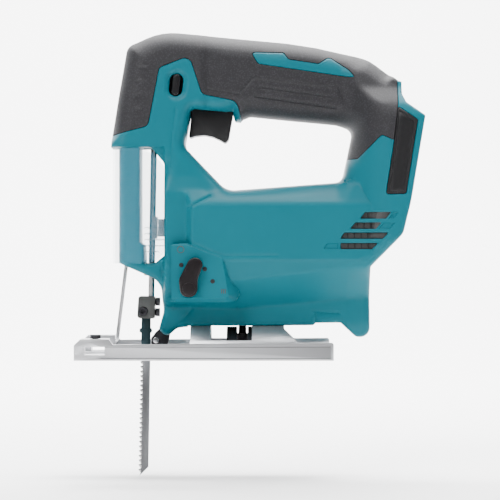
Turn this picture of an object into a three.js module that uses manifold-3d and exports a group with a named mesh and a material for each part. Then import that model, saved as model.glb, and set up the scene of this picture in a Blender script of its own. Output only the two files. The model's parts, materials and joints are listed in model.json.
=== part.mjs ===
// Cordless jigsaw with a D handle, built as separate pieces.
// Millimetres, +Z up. X runs from the blade (-) to the battery end (+), Y across the tool.
// The origin is on the sole plane, on the axis about which the shoe tilts.
import * as THREE from 'three';
import { mergeVertices } from 'three/addons/utils/BufferGeometryUtils.js';
import Module from 'manifold-3d';

const wasm = await Module();
wasm.setup();

// ---- Driving dimensions -------------------------------------------------------------------
const GAP = 0.3; // clearance between neighbouring pieces
const DEG = Math.PI / 180;

const BARREL_HALF_WIDTH = 31; // motor barrel
const CHEEK_HALF_WIDTH = 37; // battery interface
const NOSE_HALF_WIDTH = 19.3; // pillar and block inside the dust cover
const SHOE_HALF_WIDTH = 38;

const MOTOR_Z = 60; // axis of the motor
const GEAR_MODULE = 0.8;
const PINION_TEETH = 8;
const GEAR_TEETH = 56;
const CRANK_Z = MOTOR_Z + (GEAR_MODULE * (PINION_TEETH + GEAR_TEETH)) / 2; // axis of the crank gear
const CRANK_RADIUS = 9; // half the 18 mm stroke
const CRANK_REST = -15 * DEG; // crank angle at rest, from the horizontal

const PLUNGER_X = -34.2; // plunger axis at the height of the lower guide
const PLUNGER_Z = 55;
const PLUNGER_LEAN = 1 * DEG; // the plunger's top leans to the rear
const PLUNGER_RADIUS = 2;
const BLADE_OFFSET = -3; // blade centre line in front of the plunger axis
const BLADE_THICKNESS = 1.2;
const BLADE_TIP_Z = -76;
const TOOTH_PITCH = 3;

const SHOE_LENGTH = 162;
const SHOE_DECK = 3;
const SHOE_RAIL_HEIGHT = 11.2;
const SEAT_RADIUS = 23.6; // concave seat in the housing for the bevel tunnel
const TUNNEL_OUTER = 23.3;
const TUNNEL_INNER = 20.3;
const CLAMP_OUTER = 20;
const CLAMP_INNER = 17;
const BOLT_X = 24;

const LEVER_X = -9.3;
const LEVER_Z = 44.7;
const LEVER_FACE = -31.4; // near face of the selector plate

const ROLLER_X = -31.2;
const ROLLER_Z = 11.4;
const ARM_PIVOT_X = -22.5;
const ARM_PIVOT_Z = 33;

const BAY_TILT = 10.7 * DEG; // lean of the battery face
const BAY_FLOOR_X = 106; // battery face at the height of BAY_FLOOR_Z
const BAY_FLOOR_Z = 80;
const BAY_HALF_WIDTH = 34;
const RAIL_HALF_WIDTH = 30.5;
const SEAT_PAD_HEIGHT = 0.8; // raised pad that the battery's face rests on

// ---- Materials ----------------------------------------------------------------------------
function finish(color, roughness, metalness = 0) {
  return new THREE.MeshStandardMaterial({ color, roughness, metalness });
}

const TEAL = finish(0x2a97a5, 0.45);
const GRIP = finish(0x3a393c, 0.85);
const BLACK = finish(0x1d1c1f, 0.6);
const PLUM = finish(0x2a2226, 0.5);
const CAST = finish(0xd6d7da, 0.45, 0.7);
const STEEL = finish(0xa9abb0, 0.3, 1);
const DARK_STEEL = finish(0x2b2c30, 0.45, 0.9);
const BLUED = finish(0x1f474f, 0.4, 0.8);
const BRASS = finish(0xc9a24b, 0.35, 1);
const COPPER = finish(0xb0683a, 0.4, 1);
const CARBON = finish(0x2c2b2b, 0.8);
const BOARD = finish(0x1f5a38, 0.6);
const CLEAR = finish(0xdceaf2, 0.1);
CLEAR.transparent = true;
CLEAR.opacity = 0.35;

// ---- Shape helpers ------------------------------------------------------------------------
function solidFrom(geometry) {
  const bare = geometry.index ? geometry.toNonIndexed() : geometry.clone();
  bare.deleteAttribute('normal');
  bare.deleteAttribute('uv');
  const welded = mergeVertices(bare, 1e-4);
  const vertProperties = new Float32Array(welded.attributes.position.array);
  const triVerts = new Uint32Array(welded.index.array);
  return new wasm.Manifold(new wasm.Mesh({ numProp: 3, vertProperties, triVerts }));
}

function geometryFrom(solid) {
  const mesh = solid.getMesh();
  const geometry = new THREE.BufferGeometry();
  geometry.setAttribute('position', new THREE.BufferAttribute(mesh.vertProperties.slice(), 3));
  geometry.setIndex(new THREE.BufferAttribute(mesh.triVerts.slice(), 1));
  const flat = geometry.toNonIndexed();
  flat.computeVertexNormals();
  return flat;
}

function join(...solids) {
  return solids.reduce((sum, next) => sum.add(next));
}

function cut(solid, ...tools) {
  return tools.reduce((rest, tool) => rest.subtract(tool), solid);
}

// Turns corners [a, b, radius] into points, with an arc at each corner that has a radius.
function rounded(corners, arcStep = 30) {
  const points = [];
  corners.forEach(([a, b, radius = 0], i) => {
    const here = new THREE.Vector2(a, b);
    if (!radius) {
      points.push(here);
      return;
    }
    const last = corners[(i + corners.length - 1) % corners.length];
    const next = corners[(i + 1) % corners.length];
    const back = new THREE.Vector2(last[0] - a, last[1] - b).normalize();
    const ahead = new THREE.Vector2(next[0] - a, next[1] - b).normalize();
    const half = Math.acos(THREE.MathUtils.clamp(back.dot(ahead), -1, 1)) / 2;
    const middle = back.clone().add(ahead).normalize();
    const centre = here.clone().addScaledVector(middle, radius / Math.sin(half));
    const start = here.clone().addScaledVector(back, radius / Math.tan(half)).sub(centre);
    const turn = back.cross(ahead) > 0 ? -1 : 1;
    const sweep = Math.PI - 2 * half;
    const steps = Math.max(1, Math.ceil(sweep / (arcStep * DEG)));
    for (let k = 0; k <= steps; k += 1) {
      const spoke = start.clone().rotateAround(new THREE.Vector2(), (turn * sweep * k) / steps);
      points.push(spoke.add(centre));
    }
  });
  return points;
}

// Moves a closed outline outwards (or inwards, below zero) by one distance.
function offset(points, distance) {
  const side = THREE.ShapeUtils.area(points) > 0 ? 1 : -1;
  return points.map((point, i) => {
    const before = points[(i + points.length - 1) % points.length];
    const after = points[(i + 1) % points.length];
    const first = point.clone().sub(before).normalize();
    const second = after.clone().sub(point).normalize();
    const normalA = new THREE.Vector2(first.y, -first.x);
    const normalB = new THREE.Vector2(second.y, -second.x);
    const miter = normalA.add(normalB).normalize();
    const stretch = Math.max(0.5, miter.dot(new THREE.Vector2(second.y, -second.x)));
    return point.clone().addScaledVector(miter, (side * distance) / stretch);
  });
}

function extruded(points, low, high) {
  const shape = new THREE.Shape(points);
  const geometry = new THREE.ExtrudeGeometry(shape, { depth: high - low, bevelEnabled: false });
  return geometry.translate(0, 0, low);
}

const SIDE_FRAME = new THREE.Matrix4().makeRotationX(Math.PI / 2);
const FRONT_FRAME = new THREE.Matrix4().makeBasis(
  new THREE.Vector3(0, 1, 0),
  new THREE.Vector3(0, 0, 1),
  new THREE.Vector3(1, 0, 0),
);

// An outline in X and Z, carried across from yLow to yHigh.
function sidePrism(points, yLow, yHigh) {
  return solidFrom(extruded(points, -yHigh, -yLow).applyMatrix4(SIDE_FRAME));
}

// An outline in Y and Z, carried along X.
function frontPrism(points, xLow, xHigh) {
  return solidFrom(extruded(points, xLow, xHigh).applyMatrix4(FRONT_FRAME));
}

// An outline in X and Y, carried up.
function planPrism(points, zLow, zHigh) {
  return solidFrom(extruded(points, zLow, zHigh));
}

function block(xLow, xHigh, yLow, yHigh, zLow, zHigh) {
  const box = new THREE.BoxGeometry(xHigh - xLow, yHigh - yLow, zHigh - zLow);
  return solidFrom(box.translate((xLow + xHigh) / 2, (yLow + yHigh) / 2, (zLow + zHigh) / 2));
}

// Mirrors half an outline [half width, height] across the middle plane.
function symmetric(half) {
  const right = half.map(([a, b]) => new THREE.Vector2(a, b));
  const left = half.map(([a, b]) => new THREE.Vector2(-a, b)).reverse();
  return [...right, ...left];
}

// The same for a plan outline [x, half width].
function symmetricPlan(half) {
  const near = half.map(([x, y]) => new THREE.Vector2(x, -y));
  const far = half.map(([x, y]) => new THREE.Vector2(x, y)).reverse();
  return [...near, ...far];
}

function discX(radius, xLow, xHigh, z, y = 0, sides = 28) {
  const disc = new THREE.CylinderGeometry(radius, radius, xHigh - xLow, sides);
  return solidFrom(disc.rotateZ(-Math.PI / 2).translate((xLow + xHigh) / 2, y, z));
}

function discY(radius, yLow, yHigh, x, z, sides = 20) {
  const disc = new THREE.CylinderGeometry(radius, radius, yHigh - yLow, sides);
  return solidFrom(disc.translate(x, (yLow + yHigh) / 2, z));
}

function discZ(radius, zLow, zHigh, x, y, sides = 20) {
  const disc = new THREE.CylinderGeometry(radius, radius, zHigh - zLow, sides);
  return solidFrom(disc.rotateX(Math.PI / 2).translate(x, y, (zLow + zHigh) / 2));
}

function ringX(outer, inner, xLow, xHigh, z) {
  return cut(discX(outer, xLow, xHigh, z), discX(inner, xLow - 1, xHigh + 1, z));
}

// ---- The assembly -------------------------------------------------------------------------
const jigsaw = new THREE.Group();

function place(name, solid, material, parent = jigsaw) {
  const mesh = new THREE.Mesh(geometryFrom(solid), material);
  mesh.name = name;
  parent.add(mesh);
  return mesh;
}

// ---- Housing outline ----------------------------------------------------------------------
// The tool's side outline, from the shoulder above the dust cover clockwise.
const OUTLINE = rounded([
  [-59.3, 133.8],
  [-59.1, 141, 20],
  [-49.6, 198.8, 6],
  [-27.2, 208.8, 40],
  [62, 200.3, 150],
  [103.5, 190.8, 30],
  [122.3, 175.9, 0],
  [124.4, 175.2, 0],
  [124.3, 167, 4],
  [126.6, 161.8, 4],
  [138.4, 153.2, 1.5],
  [129.6, 100.4, 60],
  [124.6, 79.4, 10],
  [104.7, 58.6, 2],
  [105.3, 13.4, 6],
  [96.4, 13.4, 5],
  [86.5, 22.7, 2],
  [70.6, 22.6],
  [69, 21],
  [-9.4, 20.2, 20],
  [-17.5, 19.4, 6],
  [-24.2, 13.4, 4],
  [-29.3, 18.4, 3],
  [-26, 30, 12],
  [-27.2, 46, 10],
  [-31.5, 50.8, 6],
  [-51.2, 59.4, 1.5],
  [-54.4, 60.8],
  [-54.4, 133.8],
]);

// The opening for the fingers.
const FINGER_HOLE = rounded([
  [24.3, 152.2],
  [29, 154.1, 5],
  [84, 148.7, 20],
  [94.8, 145.5, 5],
  [87.8, 112, 7],
  [14, 106.4, 12],
  [-13, 134.6, 7],
  [-8.6, 158.8, 3],
  [17.6, 156.6],
  [19.4, 150.8, 1],
  [23, 150.4, 1],
]);

// The soft overmould covers the front knob, the handle and the top of the rear bow.
const GRIP_REGION = rounded([
  [-70, 141],
  [-58.6, 141.3],
  [-35.6, 147.4, 4],
  [-28.6, 184.4, 4],
  [-9.6, 191.8, 5],
  [-1.6, 167.6, 4],
  [20.2, 163.4, 6],
  [24.2, 149],
  [60, 138],
  [88, 126.2],
  [96.7, 126.3],
  [111.2, 141.1],
  [118.9, 137.4],
  [121.4, 159.5],
  [121.9, 180],
  [121.9, 225],
  [-70, 225],
]);

// The rigid core of the handle under the overmould.
const CORE = rounded([
  [-56.4, 136],
  [-51.6, 172],
  [-47.3, 196.8, 4],
  [-27, 205.8, 30],
  [61.6, 197.6, 100],
  [102.4, 188.2, 25],
  [123.4, 171.5],
  [123.2, 160],
  [119, 130],
  [93.2, 118],
  [97.3, 146.6, 5],
  [84.4, 151.5, 15],
  [29.6, 157, 5],
  [20, 158],
  [0, 163],
  [-14, 158],
  [-16, 136],
]);

const FRONT_PROFILE = symmetric([
  [8, 12],
  [8, 17],
  [12, 20.5],
  [12, 33.5],
  [21.4, 39],
  [25.5, 46],
  [BARREL_HALF_WIDTH, 56],
  [BARREL_HALF_WIDTH, 84],
  [29, 98],
  [21.4, 110],
  [20.6, 150],
  [19.5, 168],
  [16.5, 188],
  [12.5, 199],
  [4, 209],
]);

const MIDDLE_PROFILE = symmetric([
  [12, 18],
  [12, 33.5],
  [27, 41.5],
  [29, 50],
  [BARREL_HALF_WIDTH, 57],
  [BARREL_HALF_WIDTH, 85],
  [29, 98],
  [22, 108],
  [12, 114],
  [8, 148],
  [13.5, 152],
  [17, 158],
  [18, 172],
  [16, 190],
  [11, 199],
  [3.5, 209],
]);

const REAR_LOW_PROFILE = symmetric([
  [8, 12],
  [8, 19],
  [12, 24],
  [12, 33.5],
  [27, 41.5],
  [29, 50],
  [BARREL_HALF_WIDTH, 57],
  [BARREL_HALF_WIDTH, 85],
  [29, 98],
  [23, 112],
]);

const REAR_HIGH_PROFILE = symmetric([
  [32, 64],
  [CHEEK_HALF_WIDTH, 76],
  [CHEEK_HALF_WIDTH, 152],
  [32, 161],
  [22, 172],
  [17, 186],
  [8, 199],
]);

const REAR_PLAN = symmetricPlan([
  [87, 18],
  [93, 21],
  [104, 31],
  [112, 36],
  [117, CHEEK_HALF_WIDTH],
  [142, CHEEK_HALF_WIDTH],
]);

const NOSE_PLAN_LOW = symmetricPlan([
  [-55, 12],
  [-53, 17],
  [-49.5, NOSE_HALF_WIDTH],
  [-24.9, NOSE_HALF_WIDTH],
  [-24.9, 24],
  [-11.5, 25],
  [-7.5, BARREL_HALF_WIDTH],
  [1, BARREL_HALF_WIDTH],
]);

const NOSE_PLAN_HIGH = symmetricPlan([
  [-60, 9],
  [-58, 15],
  [-54, 19.4],
  [-48, 21.2],
  [-20, 22],
  [1, 22],
]);

// The see-through chamber between the nose pillar and the gear housing.
const CHAMBER = rounded([
  [-41, 134],
  [-34, 134.2, 4],
  [-25.4, 124, 6],
  [-25.4, 65.5],
  [-31, 61],
  [-38, 60.8],
  [-38.6, 72],
  [-41, 74],
]);

function housingBlank() {
  const side = cut(sidePrism(OUTLINE, -60, 60), sidePrism(FINGER_HOLE, -61, 61));
  const nosePlan = join(planPrism(NOSE_PLAN_LOW, 0, 133.9), planPrism(NOSE_PLAN_HIGH, 133.8, 215));
  const front = frontPrism(FRONT_PROFILE, -60, 0.5).intersect(nosePlan);
  const middle = frontPrism(MIDDLE_PROFILE, 0, 88);
  const rearLow = frontPrism(REAR_LOW_PROFILE, 87.5, 142);
  const rearHigh = frontPrism(REAR_HIGH_PROFILE, 87.5, 142).intersect(planPrism(REAR_PLAN, 60, 205));
  return side.intersect(join(front, middle, rearLow, rearHigh));
}

// A point on the battery face at height z, moved out of the face by depth.
function bayPoint(z, depth = 0) {
  const x = BAY_FLOOR_X + (z - BAY_FLOOR_Z) * Math.tan(BAY_TILT) + depth / Math.cos(BAY_TILT);
  return new THREE.Vector2(x, z);
}

function batteryBay() {
  const slot = [bayPoint(82), bayPoint(168), bayPoint(168, 10), bayPoint(82, 10)];
  const mouth = [bayPoint(82, 9.9), bayPoint(168, 9.9), bayPoint(168, 30), bayPoint(82, 30)];
  return join(
    sidePrism(slot, -BAY_HALF_WIDTH, BAY_HALF_WIDTH),
    sidePrism(mouth, -RAIL_HALF_WIDTH, RAIL_HALF_WIDTH),
  );
}

// Spaces inside the housing for the drive, the switch and the controls.
function innerSpaces() {
  const gearBay = discX(24.3, -23, 3.5, CRANK_Z);
  const yokeMouth = block(-27, -22, -15.2, 15.2, CRANK_Z - 19, CRANK_Z + 19);
  const motorBay = discX(20.5, -3.8, 76, MOTOR_Z);
  const pinionBay = discX(6, -16, -3, MOTOR_Z);
  const bearingSeat = discX(8.6, 75, 86, MOTOR_Z);
  const ventBay = block(85, 99, -26, 26, 64, 98);
  const ventDuct = block(76, 90, -20, 20, 66, 74);
  const terminalBay = block(97, 104, -20, 20, 98, 118);
  const switchBay = block(-8, 30, -11, 11, 166.8, 194);
  const triggerBay = block(-10.9, 18.4, -9, 9, 141, 167);
  const upperGuideBay = join(plungerDisc(5.3, 134, 163), plungerDisc(2.6, 124, 135));
  const lowerGuideBay = plungerDisc(5.3, 49, 62);
  const armSlot = block(-45, -18.5, -5, 5, 5, 37.5);
  const holderSlot = block(-45, -26, -6.6, 6.6, 22, 51.5);
  const boltBore = discZ(2.8, 12, 39, BOLT_X, 0);
  const camBore = discY(3.6, -35, -9, LEVER_X, LEVER_Z);
  const lampBore = discZ(3.3, 50, 68, -46, 0, 16);
  const buttonBore = leaningStadium(4.4, 12.4, 40);
  return join(
    gearBay, yokeMouth, motorBay, pinionBay, bearingSeat, ventBay, ventDuct, terminalBay,
    switchBay, triggerBay, upperGuideBay, lowerGuideBay, armSlot, holderSlot, boltBore,
    camBore, lampBore, buttonBore, ...guardHoles(),
  );
}

// A round bar on the leaning plunger axis.
function plungerDisc(radius, zLow, zHigh, sides = 20) {
  const disc = new THREE.CylinderGeometry(radius, radius, zHigh - zLow, sides);
  disc.rotateX(Math.PI / 2).translate(0, 0, (zLow + zHigh) / 2 - PLUNGER_Z);
  disc.rotateY(PLUNGER_LEAN).translate(PLUNGER_X, 0, PLUNGER_Z);
  return solidFrom(disc);
}

// The leaning stadium of the lock-off button, carried across the tool.
const BUTTON_X = -18;
const BUTTON_Z = 173.4;
const BUTTON_LEAN = 6.5 * DEG;

function stadium(halfWidth, halfLength) {
  return rounded([
    [-halfWidth, -halfLength, halfWidth * 0.99],
    [halfWidth, -halfLength, halfWidth * 0.99],
    [halfWidth, halfLength, halfWidth * 0.99],
    [-halfWidth, halfLength, halfWidth * 0.99],
  ]);
}

function leaningStadium(halfWidth, length, reach) {
  const outline = stadium(halfWidth, length / 2 + 1).map((point) =>
    point
      .rotateAround(new THREE.Vector2(), -BUTTON_LEAN)
      .add(new THREE.Vector2(BUTTON_X, BUTTON_Z)),
  );
  return sidePrism(outline, -reach, reach);
}

// Four slanted cooling slots on each cheek of the motor barrel.
const VENTS = [
  { x: 97.7, z: 88.6, length: 16.2 },
  { x: 91.3, z: 82.2, length: 16.3 },
  { x: 85.1, z: 76, length: 27 },
  { x: 84, z: 69.5, length: 21.6 },
];
const VENT_HEIGHT = 4;

function ventSlots() {
  return join(
    ...VENTS.map(({ x, z, length }) => {
      const slant = VENT_HEIGHT * 0.75;
      const slot = [
        new THREE.Vector2(x, z),
        new THREE.Vector2(x + length, z),
        new THREE.Vector2(x + length + slant, z + VENT_HEIGHT),
        new THREE.Vector2(x + slant, z + VENT_HEIGHT),
      ];
      return sidePrism(slot, -60, 60);
    }),
  );
}

// ---- Housing screws -----------------------------------------------------------------------
const SCREW_SITES = [
  { name: 'housing_screw_1', x: -47.5, z: 122, face: 15 },
  { name: 'housing_screw_2', x: -47.5, z: 80, face: 15 },
  { name: 'housing_screw_3', x: -18, z: 128, face: 17 },
  { name: 'housing_screw_4', x: 60, z: 176, face: 13 },
  { name: 'housing_screw_5', x: 105, z: 160, face: 16 },
  { name: 'housing_screw_6', x: 40, z: 96, face: 24 },
  { name: 'housing_screw_7', x: 50, z: 30, face: 9 },
  { name: 'housing_screw_8', x: 98.5, z: 26, face: 9 },
];
const SCREW_HEAD_RADIUS = 3.4;
const SCREW_SHANK_RADIUS = 1.6;
const SCREW_REACH = 7; // depth of the shank in the far half

function screwHoles() {
  return join(
    ...SCREW_SITES.map(({ x, z, face }) =>
      join(
        discY(SCREW_HEAD_RADIUS + GAP, face - 3, 60, x, z, 14),
        discY(SCREW_SHANK_RADIUS + GAP, -SCREW_REACH - GAP, face, x, z, 10),
      ),
    ),
  );
}

function addScrews() {
  SCREW_SITES.forEach(({ name, x, z, face }) => {
    const head = discY(SCREW_HEAD_RADIUS, face - 2.7, face - 0.2, x, z, 14);
    const shank = discY(SCREW_SHANK_RADIUS, -SCREW_REACH, face - 2, x, z, 10);
    const socket = discY(1.5, face - 1.4, face + 1, x, z, 6);
    place(name, cut(join(head, shank), socket), STEEL);
  });
}

// ---- Housing, overmould and trim ----------------------------------------------------------
const PAD = rounded([
  [121.2, 159],
  [133.6, 150.4],
  [126.3, 104.2, 1.5],
  [113.6, 103.8, 1.5],
  [118.2, 134],
]);

const LEVER_PLATE = rounded([
  [-20.4, 36.4],
  [20, 36.4, 3],
  [22.4, 41],
  [13.4, 64.6],
  [3, 67.6],
  [-10.8, 73.4],
  [-20.4, 72.8],
]);

const COVER_STRIP = rounded([
  [-28.6, 50],
  [-20.9, 50, 1],
  [-20.9, 64.6, 1],
  [-28.6, 63],
]);

function addHousing() {
  const blank = housingBlank();
  const gripTool = sidePrism(GRIP_REGION, -70, 70);
  const gripClearance = sidePrism(offset(GRIP_REGION, GAP), -70, 70);
  const coreProfile = (inset) => {
    const edges = [
      [21 - inset, 130],
      [20 - inset, 168],
      [16.5 - inset, 186],
      [12 - inset, 198],
      [4, 207.5 - inset],
    ];
    return symmetric(edges);
  };
  const middleCore = (inset) => symmetric([
    [9, 149.5 + inset * 0.6],
    [17.2 - inset, 158],
    [18 - inset, 172],
    [16 - inset, 189],
    [11 - inset, 197],
    [3.5, 206 - inset],
  ]);
  const rearCore = (inset) => symmetric([
    [19 - inset, 110],
    [19 - inset, 172],
    [15 - inset, 186],
    [8 - inset, 196],
  ]);
  const coreBody = (inset) => {
    const outline = offset(CORE, 2.3 - inset);
    return sidePrism(outline, -40, 40).intersect(
      join(
        frontPrism(coreProfile(inset), -60, 1),
        frontPrism(middleCore(inset), 0, 90),
        frontPrism(rearCore(inset), 89, 123.6),
      ),
    );
  };
  const core = coreBody(2.3).intersect(blank);
  const shell = join(
    blank.subtract(gripClearance),
    core,
    sidePrism(COVER_STRIP, 21.5, 25.8),
    sidePrism(COVER_STRIP, -25.8, -21.5),
    sidePrism(LEVER_PLATE, LEVER_FACE, -18),
  );
  const seat = discX(SEAT_RADIUS, -11, 77.5, 0, 0, 48);
  const padPocket = join(
    sidePrism(offset(PAD, GAP), 35.8, 40),
    sidePrism(offset(PAD, GAP), -40, -35.8),
  );
  const bay = batteryBay();
  const spaces = innerSpaces();
  const hollowed = cut(
    shell, sidePrism(CHAMBER, -60, 60), seat, bay, spaces, ventSlots(), screwHoles(), padPocket,
  );
  const seatPad = sidePrism(
    [bayPoint(139, -0.5), bayPoint(163, -0.5), bayPoint(163, SEAT_PAD_HEIGHT), bayPoint(139, SEAT_PAD_HEIGHT)],
    -17, 17,
  );
  const body = join(hollowed, seatPad);
  const leftSide = block(-100, 180, -60, -GAP / 2, -5, 240);
  const rightSide = block(-100, 180, GAP / 2, 60, -5, 240);
  place('housing_left', body.intersect(leftSide), TEAL);
  place('housing_right', body.intersect(rightSide), TEAL);

  const skin = cut(
    blank.intersect(gripTool), coreBody(2), bay, spaces, screwHoles(), padPocket,
  );
  place('grip_left', skin.intersect(leftSide), GRIP);
  place('grip_right', skin.intersect(rightSide), GRIP);
  place('trim_panel_left', sidePrism(PAD, -CHEEK_HALF_WIDTH - 0.2, -36.1), GRIP);
  place('trim_panel_right', sidePrism(PAD, 36.1, CHEEK_HALF_WIDTH + 0.2), GRIP);
}

// ---- Motor and gear train -----------------------------------------------------------------
function toothedDisc(teeth, bore, xLow, xHigh, z, firstTooth) {
  const pitchRadius = (GEAR_MODULE * teeth) / 2;
  const root = pitchRadius - 0.85;
  const tip = pitchRadius + 0.5;
  const pitchAngle = (2 * Math.PI) / teeth;
  const points = [];
  for (let tooth = 0; tooth < teeth; tooth += 1) {
    const middle = firstTooth + tooth * pitchAngle;
    const corners = [
      [root, -0.3],
      [tip, -0.14],
      [tip, 0.14],
      [root, 0.3],
    ];
    corners.forEach(([radius, share]) => {
      const angle = middle + share * pitchAngle;
      points.push(new THREE.Vector2(radius * Math.cos(angle), radius * Math.sin(angle) + z));
    });
  }
  return cut(frontPrism(points, xLow, xHigh), discX(bore, xLow - 1, xHigh + 1, z, 0, 16));
}

function addMotor() {
  const caseOutline = join(
    discX(23.8, -3.2, 3, CRANK_Z),
    discX(20, -3.2, 3, MOTOR_Z),
  );
  place('gear_case', cut(
    caseOutline,
    discX(8.3, -4, 4, MOTOR_Z),
    discX(2.8, -4, 4, CRANK_Z, 0, 16),
  ), CAST);
  place('gear_spindle', discX(2.5, -14.5, 2.6, CRANK_Z, 0, 16), STEEL);
  place('front_bearing', ringX(8, 1.9, -2.6, 2.6, MOTOR_Z), STEEL);
  place('rear_bearing', ringX(8, 1.9, 78.5, 83.5, MOTOR_Z), STEEL);

  const can = cut(
    discX(19, 14.5, 75, MOTOR_Z),
    discX(17.6, 14, 73.4, MOTOR_Z),
    discX(4, 70, 76, MOTOR_Z, 0, 16),
    block(60, 70, -4.3, 4.3, MOTOR_Z - 30, MOTOR_Z + 30),
  );
  place('motor_can', can, STEEL);
  const magnetRing = cut(discX(17.3, 20, 58, MOTOR_Z), discX(13.9, 19, 59, MOTOR_Z));
  const flankBox = (low, high) => block(15, 62, low, high, MOTOR_Z - 11, MOTOR_Z + 11);
  place('field_magnet_left', magnetRing.intersect(flankBox(-30, -5)), CARBON);
  place('field_magnet_right', magnetRing.intersect(flankBox(5, 30)), CARBON);

  const slots = [];
  for (let slot = 0; slot < 10; slot += 1) {
    const angle = (slot * 36 + 18) * DEG;
    slots.push(discX(2.2, 20, 60, MOTOR_Z + 12.4 * Math.sin(angle), 12.4 * Math.cos(angle), 8));
  }
  place('lamination_stack', cut(
    discX(13.4, 23, 56, MOTOR_Z, 0, 30), discX(1.9, 20, 60, MOTOR_Z, 0, 12), ...slots,
  ), DARK_STEEL);
  place('commutator', cut(
    discX(7, 60.5, 70, MOTOR_Z, 0, 20), discX(1.9, 58, 72, MOTOR_Z, 0, 12),
  ), COPPER);
  place('armature_shaft', discX(1.6, -13, 85, MOTOR_Z, 0, 12), STEEL);
  const blades = [];
  for (let blade = 0; blade < 9; blade += 1) {
    const turned = new THREE.BoxGeometry(5, 9.4, 1);
    turned.translate(10.6, 11.3, 0).rotateX(blade * 40 * DEG).translate(0, 0, MOTOR_Z);
    blades.push(solidFrom(turned));
  }
  place('cooling_fan', cut(
    join(discX(16.6, 6.4, 8.4, MOTOR_Z, 0, 24), discX(7, 6.4, 13, MOTOR_Z, 0, 16), ...blades),
    discX(1.9, 4, 15, MOTOR_Z, 0, 12),
  ), BLACK);
  place('brush_upper', block(61.5, 68.5, -3.5, 3.5, MOTOR_Z + 7.3, MOTOR_Z + 18.6), CARBON);
  place('brush_lower', block(61.5, 68.5, -3.5, 3.5, MOTOR_Z - 18.6, MOTOR_Z - 7.3), CARBON);
}

function addGears() {
  const halfPitch = (2 * Math.PI) / PINION_TEETH / 2;
  place('drive_pinion', toothedDisc(
    PINION_TEETH, 1.9, -12.2, -5.8, MOTOR_Z, Math.PI / 2 + halfPitch,
  ), STEEL);
  const pinY = CRANK_RADIUS * Math.cos(CRANK_REST);
  const pinZ = CRANK_Z + CRANK_RADIUS * Math.sin(CRANK_REST);
  place('crank_gear', cut(
    toothedDisc(GEAR_TEETH, 2.8, -12, -6, CRANK_Z, -Math.PI / 2),
    discX(2.8, -13, -5, pinZ, pinY, 12),
  ), STEEL);
  place('crank_pin', discX(2.5, -20.2, -6.4, pinZ, pinY, 16), STEEL);
  place('counterweight', cut(
    block(-17.6, -13.6, -15, -4.6, CRANK_Z - 8, CRANK_Z + 8),
    discZ(1.2, CRANK_Z - 12, CRANK_Z + 12, -15.6, -11, 10),
  ), DARK_STEEL);
}

// ---- Plunger, blade holder and blade ------------------------------------------------------
// The group's origin is on the plunger axis at the height PLUNGER_Z, and it leans with the axis.
function addPlunger() {
  const plunger = new THREE.Group();
  plunger.position.set(PLUNGER_X, 0, PLUNGER_Z);
  plunger.rotation.y = PLUNGER_LEAN;
  jigsaw.add(plunger);
  const local = (z) => z - PLUNGER_Z;

  const yokeZ = local(CRANK_Z + CRANK_RADIUS * Math.sin(CRANK_REST));
  const rod = join(
    discZ(PLUNGER_RADIUS, local(33), local(150), 0, 0, 16),
    block(-0.5, 3.4, -1.9, 1.9, yokeZ - 7, yokeZ + 7),
  );
  place('plunger_rod', rod, STEEL, plunger);
  const yoke = cut(
    block(8.6, 12.8, -14.4, 14.4, yokeZ - 6.2, yokeZ + 6.2),
    block(10, 14, -12.2, 12.2, yokeZ - 2.9, yokeZ + 2.9),
  );
  const bridge = block(3.7, 9, -3, 3, yokeZ - 5.6, yokeZ + 5.6);
  place('plunger_yoke', join(yoke, bridge), STEEL, plunger);

  const holderCentre = BLADE_OFFSET;
  const holderOutline = rounded([
    [holderCentre - 5.6, local(25.2), 2],
    [holderCentre + 5.6, local(25.2), 1],
    [holderCentre + 5.6, local(39.4), 1],
    [holderCentre - 5, local(39.4), 1.5],
  ]);
  const boltZ = local(29.8);
  const boltX = holderCentre - 1.8;
  const screwLevels = { holder_screw_upper: local(36), holder_screw_lower: local(29.2) };
  const holder = cut(
    sidePrism(holderOutline, -5.5, 5.5),
    discZ(PLUNGER_RADIUS + GAP, local(32.7), local(45), 0, 0, 16),
    block(holderCentre - 3.4, holderCentre + 3.4, -0.9, 0.9, local(20), local(32)),
    discY(3.1, -8, -1.6, boltX, boltZ, 16),
    ...Object.values(screwLevels).map((level) => discX(2.1, 1, 9, level, 0, 12)),
  );
  place('blade_holder', holder, STEEL, plunger);
  const boltSocket = discY(1.7, -7, -4.4, boltX, boltZ, 6);
  place('clamp_bolt', cut(discY(2.8, -6, -1.9, boltX, boltZ, 18), boltSocket), DARK_STEEL, plunger);
  Object.entries(screwLevels).forEach(([name, level]) => {
    const tip = name === 'holder_screw_upper' ? 2.4 : 1.3;
    const head = discX(2.7, holderCentre + 5.9, holderCentre + 8.8, level, 0, 14);
    const shank = discX(1.8, tip, holderCentre + 6.2, level, 0, 12);
    place(name, join(head, shank), BLACK, plunger);
  });
  place('saw_blade', sawBlade(local), BLUED, plunger);
}

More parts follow.
